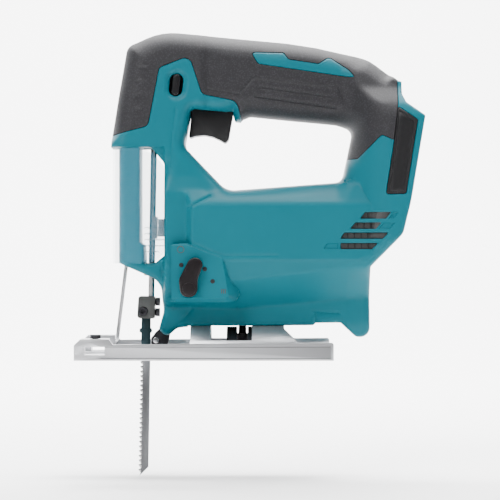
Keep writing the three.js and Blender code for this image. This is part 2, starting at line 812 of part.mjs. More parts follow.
// T-shank blade: shank and lugs above, a toothed strip below, a slanted tip.
function sawBlade(local) {
  const centre = BLADE_OFFSET;
  const back = centre + 3.1;
  const front = centre - 3.4;
  const tipZ = local(BLADE_TIP_Z);
  const points = [
    [centre - 3, local(31)],
    [centre + 3, local(31)],
    [centre + 3, local(19)],
    [centre + 3.9, local(18.4)],
    [centre + 3.9, local(16.4)],
    [centre + 3, local(15.8)],
    [back, local(4)],
    [back, tipZ + 6],
    [front + 0.4, tipZ],
  ];
  const firstTooth = tipZ + 2;
  const teeth = Math.floor((local(1) - firstTooth) / TOOTH_PITCH);
  for (let tooth = 0; tooth < teeth; tooth += 1) {
    const base = firstTooth + tooth * TOOTH_PITCH;
    points.push([front + 1.6, base], [front, base + 0.4 + TOOTH_PITCH * 0.55]);
  }
  points.push(
    [front + 0.6, local(1.5)],
    [front + 0.4, local(10)],
    [centre - 3, local(15.8)],
    [centre - 4.2, local(16.4)],
    [centre - 4.2, local(18.4)],
    [centre - 3, local(19)],
  );
  const outline = points.map(([x, z]) => new THREE.Vector2(x, z));
  return sidePrism(outline, -BLADE_THICKNESS / 2, BLADE_THICKNESS / 2);
}

function addGuides() {
  const bush = (zLow, zHigh) => cut(
    plungerDisc(5, zLow, zHigh),
    plungerDisc(PLUNGER_RADIUS + GAP, zLow - 2, zHigh + 2, 16),
  );
  place('plunger_guide_upper', bush(135, 147), BRASS);
  place('plunger_guide_lower', bush(52.6, 60), BRASS);
}

// ---- Guide roller, its fork arm and the finger guard --------------------------------------
function addRoller() {
  const cheek = rounded([
    [-35.4, 8.2, 2],
    [-23.8, 8.2, 1.5],
    [-22.4, 15],
    [-19.4, 33, 3],
    [-22.5, 36.4, 2.6],
    [-25.6, 33, 2.6],
    [-28.4, 19.4, 2],
    [-32.2, 15.8],
  ]);
  const arm = cut(
    sidePrism(cheek, -4.4, 4.4),
    block(-60, -24.6, -3.3, 3.3, 0, 21),
    block(-60, -25.6, -3.3, 3.3, 15, 31),
    discY(1.5, -6, 6, ROLLER_X, ROLLER_Z, 12),
    discY(1.5, -6, 6, ARM_PIVOT_X, ARM_PIVOT_Z, 12),
  );
  place('roller_arm', arm, BLACK);
  place('arm_pivot_pin', discY(1.2, -4.8, 4.8, ARM_PIVOT_X, ARM_PIVOT_Z, 12), STEEL);
  place('roller_pin', join(
    discY(1.2, -4.9, 4.9, ROLLER_X, ROLLER_Z, 12),
    discY(1.9, -5.2, -4.7, ROLLER_X, ROLLER_Z, 16),
  ), STEEL);
  const rim = 3.5;
  const root = 2.7;
  const profile = [
    [1.5, -2.9],
    [rim, -2.9],
    [rim, -1.6],
    [root, -0.8],
    [root, 0.8],
    [rim, 1.6],
    [rim, 2.9],
    [1.5, 2.9],
    [1.5, -2.9],
  ].map(([r, y]) => new THREE.Vector2(r, y));
  const wheel = new THREE.LatheGeometry(profile, 24);
  place('guide_roller', solidFrom(wheel.translate(ROLLER_X, 0, ROLLER_Z)), STEEL);
}

function addFingerGuard() {
  const top = new THREE.Vector3(-50.2, 0, 60.5);
  const bottom = new THREE.Vector3(-56.4, 0, 11.4);
  const spread = 4.4;
  const route = new THREE.CatmullRomCurve3([
    new THREE.Vector3(top.x, -spread, top.z),
    new THREE.Vector3(bottom.x + 1, -spread, bottom.z + 8),
    new THREE.Vector3(bottom.x + 0.3, -spread, bottom.z + 2.4),
    new THREE.Vector3(bottom.x, -2.6, bottom.z + 0.2),
    new THREE.Vector3(bottom.x, 2.6, bottom.z + 0.2),
    new THREE.Vector3(bottom.x + 0.3, spread, bottom.z + 2.4),
    new THREE.Vector3(bottom.x + 1, spread, bottom.z + 8),
    new THREE.Vector3(top.x, spread, top.z),
  ], false, 'catmullrom', 0.3);
  const section = new THREE.Shape();
  section.absarc(0, 0, 0.95, 0, 2 * Math.PI);
  const wire = new THREE.ExtrudeGeometry(section, {
    steps: 36, bevelEnabled: false, extrudePath: route, curveSegments: 4,
  });
  place('finger_guard', solidFrom(wire), STEEL);
}

function guardHoles() {
  return [-4.4, 4.4].map((y) => discZ(1.4, 50, 62, -50.2, y, 10));
}

// ---- Controls -----------------------------------------------------------------------------
function addControls() {
  const lever = new THREE.Group();
  lever.position.set(LEVER_X, LEVER_FACE - GAP, LEVER_Z);
  jigsaw.add(lever);
  const kidney = rounded([
    [-5.1, -5.1, 5],
    [5.1, -5.1, 5],
    [5.4, 6, 6],
    [9.6, 17.4, 4.4],
    [1.4, 21, 5],
    [-6.4, 5.8, 6],
  ]);
  place('orbit_lever', sidePrism(kidney, -6, 0), PLUM, lever);
  const cam = join(
    discY(3.2, 0.3, 13, 0, 0, 16),
    discY(2.2, 13, 16.5, 1, 0, 12),
  );
  place('orbit_cam', cam, STEEL, lever);

  const triggerOutline = rounded([
    [-10.3, 140],
    [-6, 141.6],
    [0, 142],
    [5.5, 140.9],
    [10, 138.8],
    [13.2, 136.9, 1],
    [15.3, 139.4, 1],
    [17.9, 154.4],
    [17.9, 160.4],
    [-8.9, 160.4],
    [-8.9, 152],
  ]);
  place('trigger', sidePrism(triggerOutline, -8.6, 8.6), BLACK);
  place('lock_button', lockButton(), BLACK);
  place('switch_body', block(-5, 24, -10, 10, 169, 190), BLACK);
  place('work_lamp', join(
    discZ(2.9, 58.5, 66, -46, 0, 16),
    discZ(1.8, 66, 67.5, -46, 0, 12),
  ), CLEAR);
  place('control_board', block(98.4, 100.4, -18, 18, 99, 117), BOARD);
}

function lockButton() {
  const outline = stadium(2.5, 6.9).map((point) =>
    point
      .rotateAround(new THREE.Vector2(), -BUTTON_LEAN)
      .add(new THREE.Vector2(BUTTON_X, BUTTON_Z)),
  );
  return sidePrism(outline, -19.2, 15.6);
}

// ---- Battery contacts ---------------------------------------------------------------------
// The group's origin is on the battery face, with its own Z up along the face.
function addTerminals() {
  const bay = new THREE.Group();
  const foot = bayPoint(88);
  bay.position.set(foot.x, 0, foot.y);
  bay.rotation.y = BAY_TILT;
  jigsaw.add(bay);
  const bladeSites = { terminal_plus: 11, terminal_minus: -11 };
  const pockets = Object.values(bladeSites).map((y) => block(2.4, 20, y - 3.4, y + 3.4, 3, 43));
  place('terminal_block', cut(
    join(block(GAP, 4, -22, 22, 0, 46), block(3.5, 9, -17, 17, 2, 44)), ...pockets,
  ), BLACK, bay);
  Object.entries(bladeSites).forEach(([name, y]) => {
    place(name, block(2.7, 8.2, y - 0.5, y + 0.5, 8, 38), BRASS, bay);
  });
}

// ---- Dust cover ---------------------------------------------------------------------------
function addDustCover() {
  const outer = 21;
  const wall = 1.5;
  const plan = (side, front) => rounded([
    [-25.3, -side],
    [front + 2, -side, 9],
    [front, -side + 8, 4],
    [front, side - 8, 4],
    [front + 2, side, 9],
    [-25.3, side],
  ], 20);
  const sleeve = cut(
    planPrism(plan(outer, -59.1), 60.4, 133.5),
    planPrism([...plan(outer - wall, -59.1 + wall)].map((p) => (
      p.x > -26 ? new THREE.Vector2(p.x + 5, p.y) : p
    )), 50, 140),
  );
  const sideOutline = rounded([
    [-57.6, 60.4, 3],
    [-38.4, 60.4],
    [-30.5, 64.2],
    [-25.3, 69.2],
    [-25.3, 119.4, 3],
    [-28, 126, 4],
    [-35.4, 132.6, 8],
    [-42, 133.5],
    [-59.3, 133.5],
  ]);
  place('dust_cover', sleeve.intersect(sidePrism(sideOutline, -40, 40)), CLEAR);
}

// ---- Shoe, clamp plate and bolt -----------------------------------------------------------
function addShoe() {
  const half = SHOE_LENGTH / 2;
  const slotHalf = 13;
  const deckOutline = [
    [-half, -SHOE_HALF_WIDTH],
    [half, -SHOE_HALF_WIDTH, 4],
    [half, SHOE_HALF_WIDTH, 4],
    [-half, SHOE_HALF_WIDTH],
    [-half, slotHalf],
    [-21, slotHalf, 6],
    [-21, -slotHalf, 6],
    [-half, -slotHalf],
  ];
  const deck = planPrism(rounded(deckOutline), 0, SHOE_DECK);
  const railSide = rounded([
    [-half, 0, 4],
    [half, 0],
    [half, SHOE_RAIL_HEIGHT, 1.5],
    [-56.6, SHOE_RAIL_HEIGHT - 1.2],
    [-59.4, 13.4],
    [-77, 13.4],
    [-half, 9.6, 1.5],
  ]);
  const rail = (low, high) => sidePrism(railSide, low, high);
  const boss = (low, high) => sidePrism(rounded([
    [-half, 0, 4],
    [-58, 0],
    [-59.4, 13.4],
    [-77, 13.4],
    [-half, 9.6, 1.5],
  ]), low, high);
  const fenceSlot = block(-74.8, -61.8, -60, 60, 3.4, 8.6);
  const tunnel = cut(
    discX(TUNNEL_OUTER, -9, 59, 0, 0, 48),
    discX(TUNNEL_INNER, -12, 62, 0, 0, 48),
    block(-20, 70, -40, 40, -40, 1),
    sidePrism([
      new THREE.Vector2(50.5, 30),
      new THREE.Vector2(50.5, 18.6),
      new THREE.Vector2(60, 9),
      new THREE.Vector2(70, 9),
      new THREE.Vector2(70, 30),
    ], -40, 40),
  );
  const window = block(4, 30, -40, 40, 11.8, 40); // lets the bolt pass at any bevel angle
  const keyHole = planPrism(rounded([
    [6, -9, 5],
    [31, -9, 5],
    [31, 9, 5],
    [6, 9, 5],
  ]), -5, 10);
  const webs = [-30, 70].map((x) => block(x - 1.2, x + 1.2, -36, 36, 2, 6));
  const frontCross = cut(block(-60.5, -58.2, -36, 36, 2, 6), block(-70, -50, -13, 13, 0, 10));
  const webCut = block(-60, -21, -13, 13, -1, 10);
  const shoe = join(
    deck,
    rail(-SHOE_HALF_WIDTH, -34),
    rail(34, SHOE_HALF_WIDTH),
    boss(-34.5, -24),
    boss(24, 34.5),
    tunnel,
    cut(webs[0], webCut),
    webs[1],
    frontCross,
  );
  place('shoe', cut(shoe, window, keyHole, fenceSlot, discZ(2.3, 8, 20, -68, -31, 12)), CAST);
  place('fence_screw', cut(
    join(discZ(2, 9, 14, -68, -31, 12), discZ(3.4, 13.7, 16, -68, -31, 14)),
    block(-73, -63, -31.5, -30.5, 15, 18),
  ), DARK_STEEL);

  const clamp = cut(
    discX(CLAMP_OUTER, 14, 34, 0, 0, 40),
    discX(CLAMP_INNER, 10, 40, 0, 0, 40),
    block(10, 40, -40, 40, -40, 7.5),
    block(BOLT_X - 3.4, BOLT_X + 3.4, -40, 40, 9.6, 30), // clears the bolt at 45 degrees
  );
  place('clamp_plate', clamp, DARK_STEEL);
  place('shoe_bolt', cut(
    join(discZ(2.5, 14, 38, BOLT_X, 0, 16), discZ(4.8, 11, 15.8, BOLT_X, 0, 20)),
    discZ(2.4, 8, 13.6, BOLT_X, 0, 6),
  ), DARK_STEEL);
}

addHousing();
addScrews();
addMotor();
addGears();
addPlunger();
addGuides();
addRoller();
addFingerGuard();
addControls();
addTerminals();
addDustCover();
addShoe();

export default jigsaw;
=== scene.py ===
"""Looks for a cordless jigsaw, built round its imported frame. Lengths in the tables are in millimetres."""

import json
import math

import bmesh
import bpy
import numpy as np
from mathutils import Matrix, Vector
from mathutils.geometry import delaunay_2d_cdt


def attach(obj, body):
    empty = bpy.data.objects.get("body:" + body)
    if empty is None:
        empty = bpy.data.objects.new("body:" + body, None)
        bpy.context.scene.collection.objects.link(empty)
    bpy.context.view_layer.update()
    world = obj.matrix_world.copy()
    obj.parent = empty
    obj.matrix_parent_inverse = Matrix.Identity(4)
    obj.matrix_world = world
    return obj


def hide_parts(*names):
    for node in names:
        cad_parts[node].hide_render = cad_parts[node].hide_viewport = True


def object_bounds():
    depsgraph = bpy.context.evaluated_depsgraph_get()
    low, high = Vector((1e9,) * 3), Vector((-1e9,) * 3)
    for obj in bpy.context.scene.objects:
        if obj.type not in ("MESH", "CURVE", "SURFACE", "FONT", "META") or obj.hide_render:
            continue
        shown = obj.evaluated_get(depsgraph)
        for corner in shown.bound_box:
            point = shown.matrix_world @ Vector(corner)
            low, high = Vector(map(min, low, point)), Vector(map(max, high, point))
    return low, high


MM = 0.001

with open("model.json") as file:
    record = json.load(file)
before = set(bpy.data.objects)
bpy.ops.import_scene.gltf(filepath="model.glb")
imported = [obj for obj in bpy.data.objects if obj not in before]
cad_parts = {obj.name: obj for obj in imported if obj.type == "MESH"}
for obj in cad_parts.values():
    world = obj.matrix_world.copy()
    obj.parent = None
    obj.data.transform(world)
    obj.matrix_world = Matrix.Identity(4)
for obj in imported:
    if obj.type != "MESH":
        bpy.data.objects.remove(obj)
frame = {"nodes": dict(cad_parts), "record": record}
CAD_BOUNDS = [list(corner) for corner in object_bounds()]

# ---- Outlines in X and Z --------------------------------------------------------------------
OUTLINE = [
    (-59.3, 133.8, 0), (-59.1, 141, 20), (-49.6, 198.8, 7), (-27.2, 208.62, 40),
    (62, 200.3, 150), (103.5, 190.8, 30), (122.3, 175.9, 0), (124.4, 175.2, 0),
    (124.3, 167, 4), (126.6, 161.8, 4), (138.36, 153.2, 1.5), (129.6, 100.4, 60),
    (124.6, 79.4, 10), (104.7, 58.6, 2), (105.3, 13.4, 6), (96.4, 13.4, 5),
    (86.5, 22.7, 2), (70.6, 22.6, 0), (69, 21, 0), (-9.4, 20.2, 20),
    (-17.5, 19.4, 6), (-24.2, 13.4, 4), (-29.3, 18.4, 3), (-26, 30, 12),
    (-27.2, 46, 10), (-31.5, 50.8, 6), (-51.2, 59.4, 1.5), (-54.4, 60.8, 0),
    (-54.4, 133.8, 0),
]
FINGER_HOLE = [
    (24.3, 152.2, 0), (29, 154.1, 5), (84, 148.7, 20), (94.8, 145.5, 5),
    (87.8, 112, 7), (14, 106.4, 12), (-13, 134.6, 7), (-8.6, 158.8, 3),
    (17.6, 156.6, 0), (19.4, 150.8, 1), (23, 150.4, 1),
]
CHAMBER = [
    (-41, 134, 0), (-34, 134.2, 4), (-25.4, 124, 6), (-25.4, 65.5, 0),
    (-31, 61, 0), (-38, 60.8, 0), (-38.6, 72, 0), (-41, 74, 0),
]
GRIP = [
    (-70, 141, 0), (-58.6, 141.3, 0), (-35.6, 147.4, 4), (-28.6, 184.4, 4),
    (-9.6, 191.8, 5), (-1.6, 167.6, 4), (20.2, 163.4, 6), (24.2, 149, 0),
    (60, 138, 0), (88, 126.2, 0), (96.7, 126.3, 2), (111.2, 141.1, 2),
    (118.9, 137.4, 1), (121.4, 159.5, 2), (121.9, 180, 0), (121.9, 225, 0),
    (-70, 225, 0),
]
INLAY = [
    (30, 193.6, 1), (32.3, 194.2, 1), (50, 193.9, 2), (53.1, 189.7, 1.5),
    (72.3, 186.8, 1.5), (77.7, 190.4, 1.5), (80, 190.4, 1), (90.8, 183, 1),
    (95, 178.1, 0.6), (91.6, 178.3, 0.6), (34.6, 186.8, 0.8), (33.2, 187.9, 0.6),
]
TRIM = [
    (121.2, 159, 1), (133.6, 150.4, 1), (126.3, 104.2, 1.5), (113.6, 103.8, 1.5),
    (118.2, 134, 2),
]
LEVER_PLATE = [
    (-20.4, 36.4, 0), (20, 36.4, 3), (22.4, 41, 0), (13.4, 64.6, 1), (3, 67.6, 1),
    (-10.8, 73.4, 1), (-20.4, 72.8, 0),
]
VENTS = [
    [(97.7, 88.6, 0.5), (113.7, 88.6, 0.8), (117.1, 92.8, 0.5), (100.8, 92.8, 0.8)],
    [(91.3, 82.2, 0.5), (107.6, 82.2, 0.8), (111, 86.3, 0.5), (94.7, 86.3, 0.8)],
    [(85.1, 76, 0.5), (111.8, 76, 0.8), (115.6, 80, 0.5), (87.8, 80, 0.8)],
    [(85.4, 69.5, 0.8), (105.3, 69.5, 0.8), (109.1, 73.4, 0.5), (85.4, 73.4, 0.8)],
]
BLIND_VENTS = [
    [(114.8, 88.6, 0.4), (118.6, 88.6, 0.4), (121.6, 92.8, 0.4), (118.2, 92.8, 0.4)],
    [(108.8, 82.2, 0.4), (116.4, 82.2, 0.4), (119.6, 86.3, 0.4), (112.1, 86.3, 0.4)],
    [(74.5, 69.5, 0.8), (84.2, 69.5, 0.4), (84.2, 73.4, 0.4), (76.8, 73.4, 0.8)],
]
# The flat face of the lever plate; the band from here out to the plate's own outline is a bevel.
PLATE_FACE = [
    (-20.4, 39, 0), (15.6, 39.1, 1.5), (11.2, 64.2, 1), (3, 66.9, 1), (-10.8, 72.2, 1),
    (-20.4, 71.8, 0),
]
BUTTON_CENTRE = (-18, 173.4)
BUTTON_LEAN = math.radians(6.5)
BUTTON_HOLE = (4.4, 7.2)  # half width and half length of the lock-off button's pocket
LEVER_PIVOT = (-9.3, 44.7)
MOTOR_SPACE = (23.6, -11, 77.5)  # radius and ends of the space round the motor
SCREWS = {
    "housing_screw_1": (-47.5, 122, 15), "housing_screw_2": (-47.5, 80, 15),
    "housing_screw_3": (-18, 128, 17), "housing_screw_4": (60, 176, 13),
    "housing_screw_5": (105, 160, 16), "housing_screw_6": (40, 96, 24),
    "housing_screw_7": (50, 30, 9), "housing_screw_8": (98.5, 26, 9),
}
SCREW_BORE = 3.7

# Engraved lines: points, depth, width.
GROOVES = [
    ([(-9.9, 95.6), (4, 103)], 0.8, 0.7),
    ([(35.4, 171.8), (80, 165.7)], 0.7, 0.6),
    ([(32.7, 166), (82.4, 158.7)], 0.7, 0.6),
    ([(2.1, 170.8), (22.2, 167.5), (29.9, 177), (32.7, 178.3), (84.6, 172.2), (88.5, 161.8)], 0.45, 0.6),
    ([(-18, 158.8), (-20.3, 142.6), (-21.5, 120.6)], 0.35, 0.6),
    ([(-7.9, 31.5), (-15.6, 22.5)], 0.35, 0.5),
    ([(-11.2, 75.4), (5.6, 67.6), (12.2, 65.4), (46, 65.6)], 0.3, 0.5),
    ([(70.4, 22.8), (70.2, 29.2), (85.6, 28.6)], 0.5, 0.45),
    ([(121.9, 155.6), (131.4, 149.2), (124.6, 105.8), (115.6, 105.5), (120, 134), (121.9, 155.6)], 0.35, 0.4),
]
RIDGES = [([(x - 2, z - 0.4), (x, z + 0.3), (x + 2, z - 0.4)], -0.5, 0.7)
          for x, z in [(-39.4, 184.6), (-40.4, 176), (-41, 167.2), (-41.6, 158.5)]]

# ---- Half widths ----------------------------------------------------------------------------
FRONT_WIDTH = [
    (12, 11), (20, 12), (33.5, 12.2), (35.2, 16), (39, 21.4), (46, 26), (56, 29.4),
    (64, 31), (97, 31), (99, 30), (108, 23.4), (116, 21.4), (150, 20.8), (168, 20),
    (188, 18.5), (209, 16),
]
MIDDLE_WIDTH = [
    (18, 31), (97, 31), (99, 30), (107, 23.6), (113, 22), (148, 15.5), (152, 16.6), (158, 17.4),
    (172, 18), (190, 17), (209, 15),
]
REAR_LOW_WIDTH = [(12, 31), (98, 31), (100, 29.6), (112, 24)]
KEEL_WIDTH = [(10, 8.4), (18, 11), (22, 12), (34, 12.2)]
LOWER_CREASE = [(-60, 50.3), (23, 50.3), (104, 59.6), (140, 63.7)]  # x, z of the fold below the barrel
BARREL_FOLD = 65.5  # height where the barrel's flat side ends
UPPER_SLOPE = 0.2
LOWER_SLOPE = 0.87
REAR_HIGH_WIDTH = [
    (56, 24), (64, 32), (70, 34.6), (76, 37), (152, 37), (161, 33), (172, 24), (186, 19),
    (199, 16),
]
REAR_PLAN = [(84, 17), (88, 18), (94, 21), (104, 30.5), (112, 35.4), (117, 37), (142, 37)]
NOSE_PLAN = [
    (-55, 12), (-53.6, 15.6), (-51.6, 18.2), (-49.5, 19.3), (-25.6, 19.3), (-24.9, 24),
    (-13, 24.6), (-11.2, 25.2), (-7.5, 31), (10, 31),
]
KNOB_PLAN = [(-60, 18), (-54, 20.4), (-48, 21.2), (-20, 21.6), (10, 22)]
# Edge rounding round the silhouette, by place: x, z, radius.
EDGE_RADII = [
    (-56, 150, 13), (-52, 190, 14), (-20, 206, 13), (30, 204, 14.5), (90, 194, 14),
    (112, 182, 11), (30, 154, 14.5), (80, 149, 14.5), (0, 160, 6), (-10, 146, 8),
    (-12, 132, 8), (10, 108, 7), (60, 109, 7), (88, 113, 8), (93, 135, 12), (-54, 128, 2.5),
    (-54, 90, 2.5), (-54, 63, 2), (-40, 56, 3), (-27, 45, 2.5), (-27, 25, 3), (-18, 18, 2.5),
    (30, 20, 1.6), (70, 20, 1.8), (90, 18, 2.4), (102, 15, 2.4), (105.5, 30, 2.6),
    (105, 50, 3), (112, 66, 3), (124, 80, 2), (130, 104, 1.4), (135, 135, 1.3),
    (138, 153, 1.2), (126, 163, 1.3), (124, 175, 1.3), (-36, 134, 1), (-26, 90, 1),
    (-40, 70, 1),
]

# Lines where flat parts of the body meet, kept as mesh edges.
FOLDS = [
    [(-60, 133.4), (-24, 133.4)], [(-60, 134.4), (-24, 134.4)], [(-7, 97), (92, 97)],
    [(12, 65.5), (100, 65.5)], [(22, 50.3), (104, 59.6)], [(-11.2, 67), (-11.2, 101)],
    [(-7.5, 67), (-7.5, 101)], [(-24.9, 36), (-24.9, 130)], [(-25.6, 46), (-25.6, 66)],
]

BAY_TILT = math.radians(10.7)
BAY_FLOOR = (106, 80)
SKIN = 2.4  # thickness of the shell's wall
VENT_DEPTH = 2.0
VENT_SHADE_SHEET = 0.4  # thickness of the dark sheet behind the vents, painted shade for the dark inside of the housing
LAYER = 1.2  # thickness of the grip and of the trim over the shell
LEAST_CORE = 0.05
MIDDLE_PLANE = 0.0
THINNEST = 0.3  # least thickness of the wall
RINGS = (0.2, 0.55, 1.1, 1.9, 3.0, 4.4, 6.2, 8.4)
SEAM_RINGS = (0.18, 0.45, 0.9)
GRID_PITCH = 1.15
LINE_PITCH = 1.3
SEAM_DEPTH = 0.75
SEAM_WIDTH = 0.5
PLATE_LEVEL = 31.4
BOWL_DEPTH = 1.6
POCKET_LIP = 0.02


def rounded(corners, degrees=9.0):
    """Corners (a, b, radius) as a loop of points, with arcs at the corners that have a radius."""
    points = []
    count = len(corners)
    for i, (a, b, radius) in enumerate(corners):
        here = Vector((a, b))
        if not radius:
            points.append(here)
            continue
        back = (Vector(corners[i - 1][:2]) - here).normalized()
        ahead = (Vector(corners[(i + 1) % count][:2]) - here).normalized()
        half = math.acos(max(-1, min(1, back.dot(ahead)))) / 2
        centre = here + (back + ahead).normalized() * (radius / math.sin(half))
        start = here + back * (radius / math.tan(half)) - centre
        cross = back.x * ahead.y - back.y * ahead.x
        sweep = (math.pi - 2 * half) * (-1 if cross > 0 else 1)
        steps = max(1, math.ceil(abs(sweep) / math.radians(degrees)))
        for k in range(steps + 1):
            angle = sweep * k / steps
            cos, sin = math.cos(angle), math.sin(angle)
            points.append(centre + Vector((start.x * cos - start.y * sin, start.x * sin + start.y * cos)))
    return np.array([tuple(p) for p in points])


def resampled(points, step, closed=True):
    """The same line with no stretch longer than step."""
    result = []
    count = len(points)
    for i in range(count if closed else count - 1):
        a, b = points[i], points[(i + 1) % count]
        length = float(np.hypot(*(b - a)))
        if length < 1e-6:
            continue
        pieces = max(1, math.ceil(length / step))
        result.extend(a + (b - a) * k / pieces for k in range(pieces))
    if not closed:
        result.append(points[-1])
    return np.array(result)


def outlined(corners, degrees=9.0):
    return resampled(rounded(corners, degrees), LINE_PITCH)


def circle(centre, radius, sides=28):
    angles = np.arange(sides) * 2 * np.pi / sides
    return np.stack([centre[0] + radius * np.cos(angles), centre[1] + radius * np.sin(angles)], 1)


def stadium(centre, half_width, half_length, lean):
    angles = np.radians(np.arange(0, 360, 10))
    straight = half_length - half_width
    x = half_width * np.cos(angles)
    z = half_width * np.sin(angles) + np.where(np.sin(angles) >= 0, straight, -straight)
    cos, sin = math.cos(-lean), math.sin(-lean)
    return np.stack([centre[0] + x * cos - z * sin, centre[1] + x * sin + z * cos], 1)


def distance(points, lines):
    """Distance from each point to the nearest of some lines, each (points, closed)."""
    best = np.full(len(points), 1e9)
    for line, closed in lines:
        starts = line if closed else line[:-1]
        ends = np.roll(line, -1, axis=0) if closed else line[1:]
        for first in range(0, len(points), 4000):
            part = points[first:first + 4000]
            along = ends - starts
            offset = part[:, None, :] - starts[None]
            share = (offset * along).sum(2) / np.maximum((along ** 2).sum(1), 1e-12)
            share = np.clip(share, 0, 1)[..., None]
            near = np.sqrt((((offset - share * along) ** 2).sum(2)).min(1))
            best[first:first + 4000] = np.minimum(best[first:first + 4000], near)
    return best


def inside(points, loop):
    x, z = points[:, 0][:, None], points[:, 1][:, None]
    ax, az = loop[:, 0], loop[:, 1]
    bx, bz = np.roll(ax, -1), np.roll(az, -1)
    rise = np.where(np.abs(bz - az) < 1e-12, 1e-12, bz - az)
    crosses = ((az > z) != (bz > z)) & (x < (bx - ax) * (z - az) / rise + ax)
    return crosses.sum(1) % 2 == 1


def step_between(value, low, high):
    share = np.clip((value - low) / (high - low), 0, 1)
    return share * share * (3 - 2 * share)


def softened(table, blur=1.0):
    """A width table as a function, with its corners rounded off."""
    keys = np.array([k for k, _ in table], float)
    values = np.array([v for _, v in table], float)
    fine = np.arange(keys[0] - 6, keys[-1] + 6, 0.25)
    line = np.interp(fine, keys, values)
    kernel = np.exp(-0.5 * (np.arange(-16, 17) * 0.25 / blur) ** 2)
    line = np.convolve(np.pad(line, 16, mode="edge"), kernel / kernel.sum(), "valid")
    return lambda at: np.interp(at, fine, line)


def soft_least(a, b, blend=1.2):
    gap = np.clip(0.5 + 0.5 * (b - a) / blend, 0, 1)
    return b + (a - b) * gap - blend * gap * (1 - gap)


FRONT = softened(FRONT_WIDTH, 0.7)
MIDDLE = softened(MIDDLE_WIDTH, 0.55)
REAR_LOW = softened(REAR_LOW_WIDTH)
REAR_HIGH = softened(REAR_HIGH_WIDTH, 1.4)
REAR_ACROSS = softened(REAR_PLAN, 1.4)
KEEL = softened(KEEL_WIDTH, 0.6)
CREASE = softened(LOWER_CREASE, 2.0)
NOSE_ACROSS = softened(NOSE_PLAN, 0.45)
KNOB_ACROSS = softened(KNOB_PLAN)


def below_barrel(x, z):
    """Half width under the barrel: two flat facets that fold in to the narrow keel."""
    crease = CREASE(x)
    upper = 31 - UPPER_SLOPE * (BARREL_FOLD - z)
    lower = 31 - UPPER_SLOPE * (BARREL_FOLD - crease) - LOWER_SLOPE * (crease - z)
    facets = soft_least(upper, lower, 0.8)
    leg = np.where(x > 90, 0.22 * (x - 90), 0) * (1 - step_between(z, 50, 60))
    return -soft_least(-KEEL(z), -facets, 0.8) - leg


def base_width(points):
    """Half width of the body before its edges are rounded."""
    x, z = points[:, 0], points[:, 1]
    across = NOSE_ACROSS(x) + (KNOB_ACROSS(x) - NOSE_ACROSS(x)) * step_between(z, 133.4, 134.4)
    front = soft_least(FRONT(z), across)
    rear_high = soft_least(REAR_HIGH(z), REAR_ACROSS(x), 2.5)
    rear = np.where(z < 112, np.maximum(REAR_LOW(z), rear_high), rear_high)
    under = below_barrel(x, z)
    rear = soft_least(rear, np.where(x > 110, 60, under) + np.where(z > 62, (z - 62) * 2.5, 0), 0.6)
    middle = soft_least(MIDDLE(z), under + np.where(z > 62, (z - 62) * 1.5, 0), 0.6)
    width = front + (middle - front) * step_between(x, -3, 3)
    return width + (rear - width) * step_between(x, 82, 92)


def edge_radius(points):
    spots = np.array(EDGE_RADII, float)
    gap = ((points[:, None, :] - spots[None, :, :2]) ** 2).sum(2) + 1.0
    weight = gap ** -2.5
    return (weight * spots[:, 2]).sum(1) / weight.sum(1)


def bay_point(z, depth=0.0):
    x = BAY_FLOOR[0] + (z - BAY_FLOOR[1]) * math.tan(BAY_TILT) + depth / math.cos(BAY_TILT)
    return (x, z)


def box_loop(x0, x1, z0, z1):
    return np.array([(x0, z0), (x1, z0), (x1, z1), (x0, z1)], float)


BAY_SLOT = np.array([bay_point(82), bay_point(82, 10), bay_point(168, 10), bay_point(168)])
BAY_MOUTH = np.array([bay_point(82, 9.95), bay_point(82, 34), bay_point(168, 34), bay_point(168, 9.95)])
# Openings in the inner face: loop, half width that is left clear.
POCKETS = [
    (box_loop(-10.9, 18.4, 139, 167), 9.2),
    (box_loop(-45, -18.5, 5, 37.5), 5.2),
    (box_loop(-45, -26, 22, 51.5), 6.8),
    (box_loop(-39.6, -28.8, 49, 62.5), 5.4),
    (box_loop(-39.6, -28, 133, 163), 5.4),
    (box_loop(-49.3, -42.7, 50, 68), 3.4),
    (box_loop(21.1, 26.9, 12, 39), 2.9),
    (BAY_SLOT, 34.0),
    (BAY_MOUTH, 30.5),
]

OUTER = outlined(OUTLINE)
HOLE = outlined(FINGER_HOLE)
WINDOW = outlined(CHAMBER)
GRIP_LOOP = outlined(GRIP)
INLAY_LOOP = resampled(rounded(INLAY, 15), 1.2)
TRIM_LOOP = outlined(TRIM, 15)
PLATE_LOOP = outlined(LEVER_PLATE)
FACE_LOOP = outlined(PLATE_FACE)
VENT_LOOPS = [outlined(vent, 20) for vent in VENTS]
BLIND_LOOPS = [outlined(vent, 30) for vent in BLIND_VENTS]
BUTTON_LOOP = stadium(BUTTON_CENTRE, *BUTTON_HOLE, BUTTON_LEAN)
CAM_LOOP = circle(LEVER_PIVOT, 3.6)


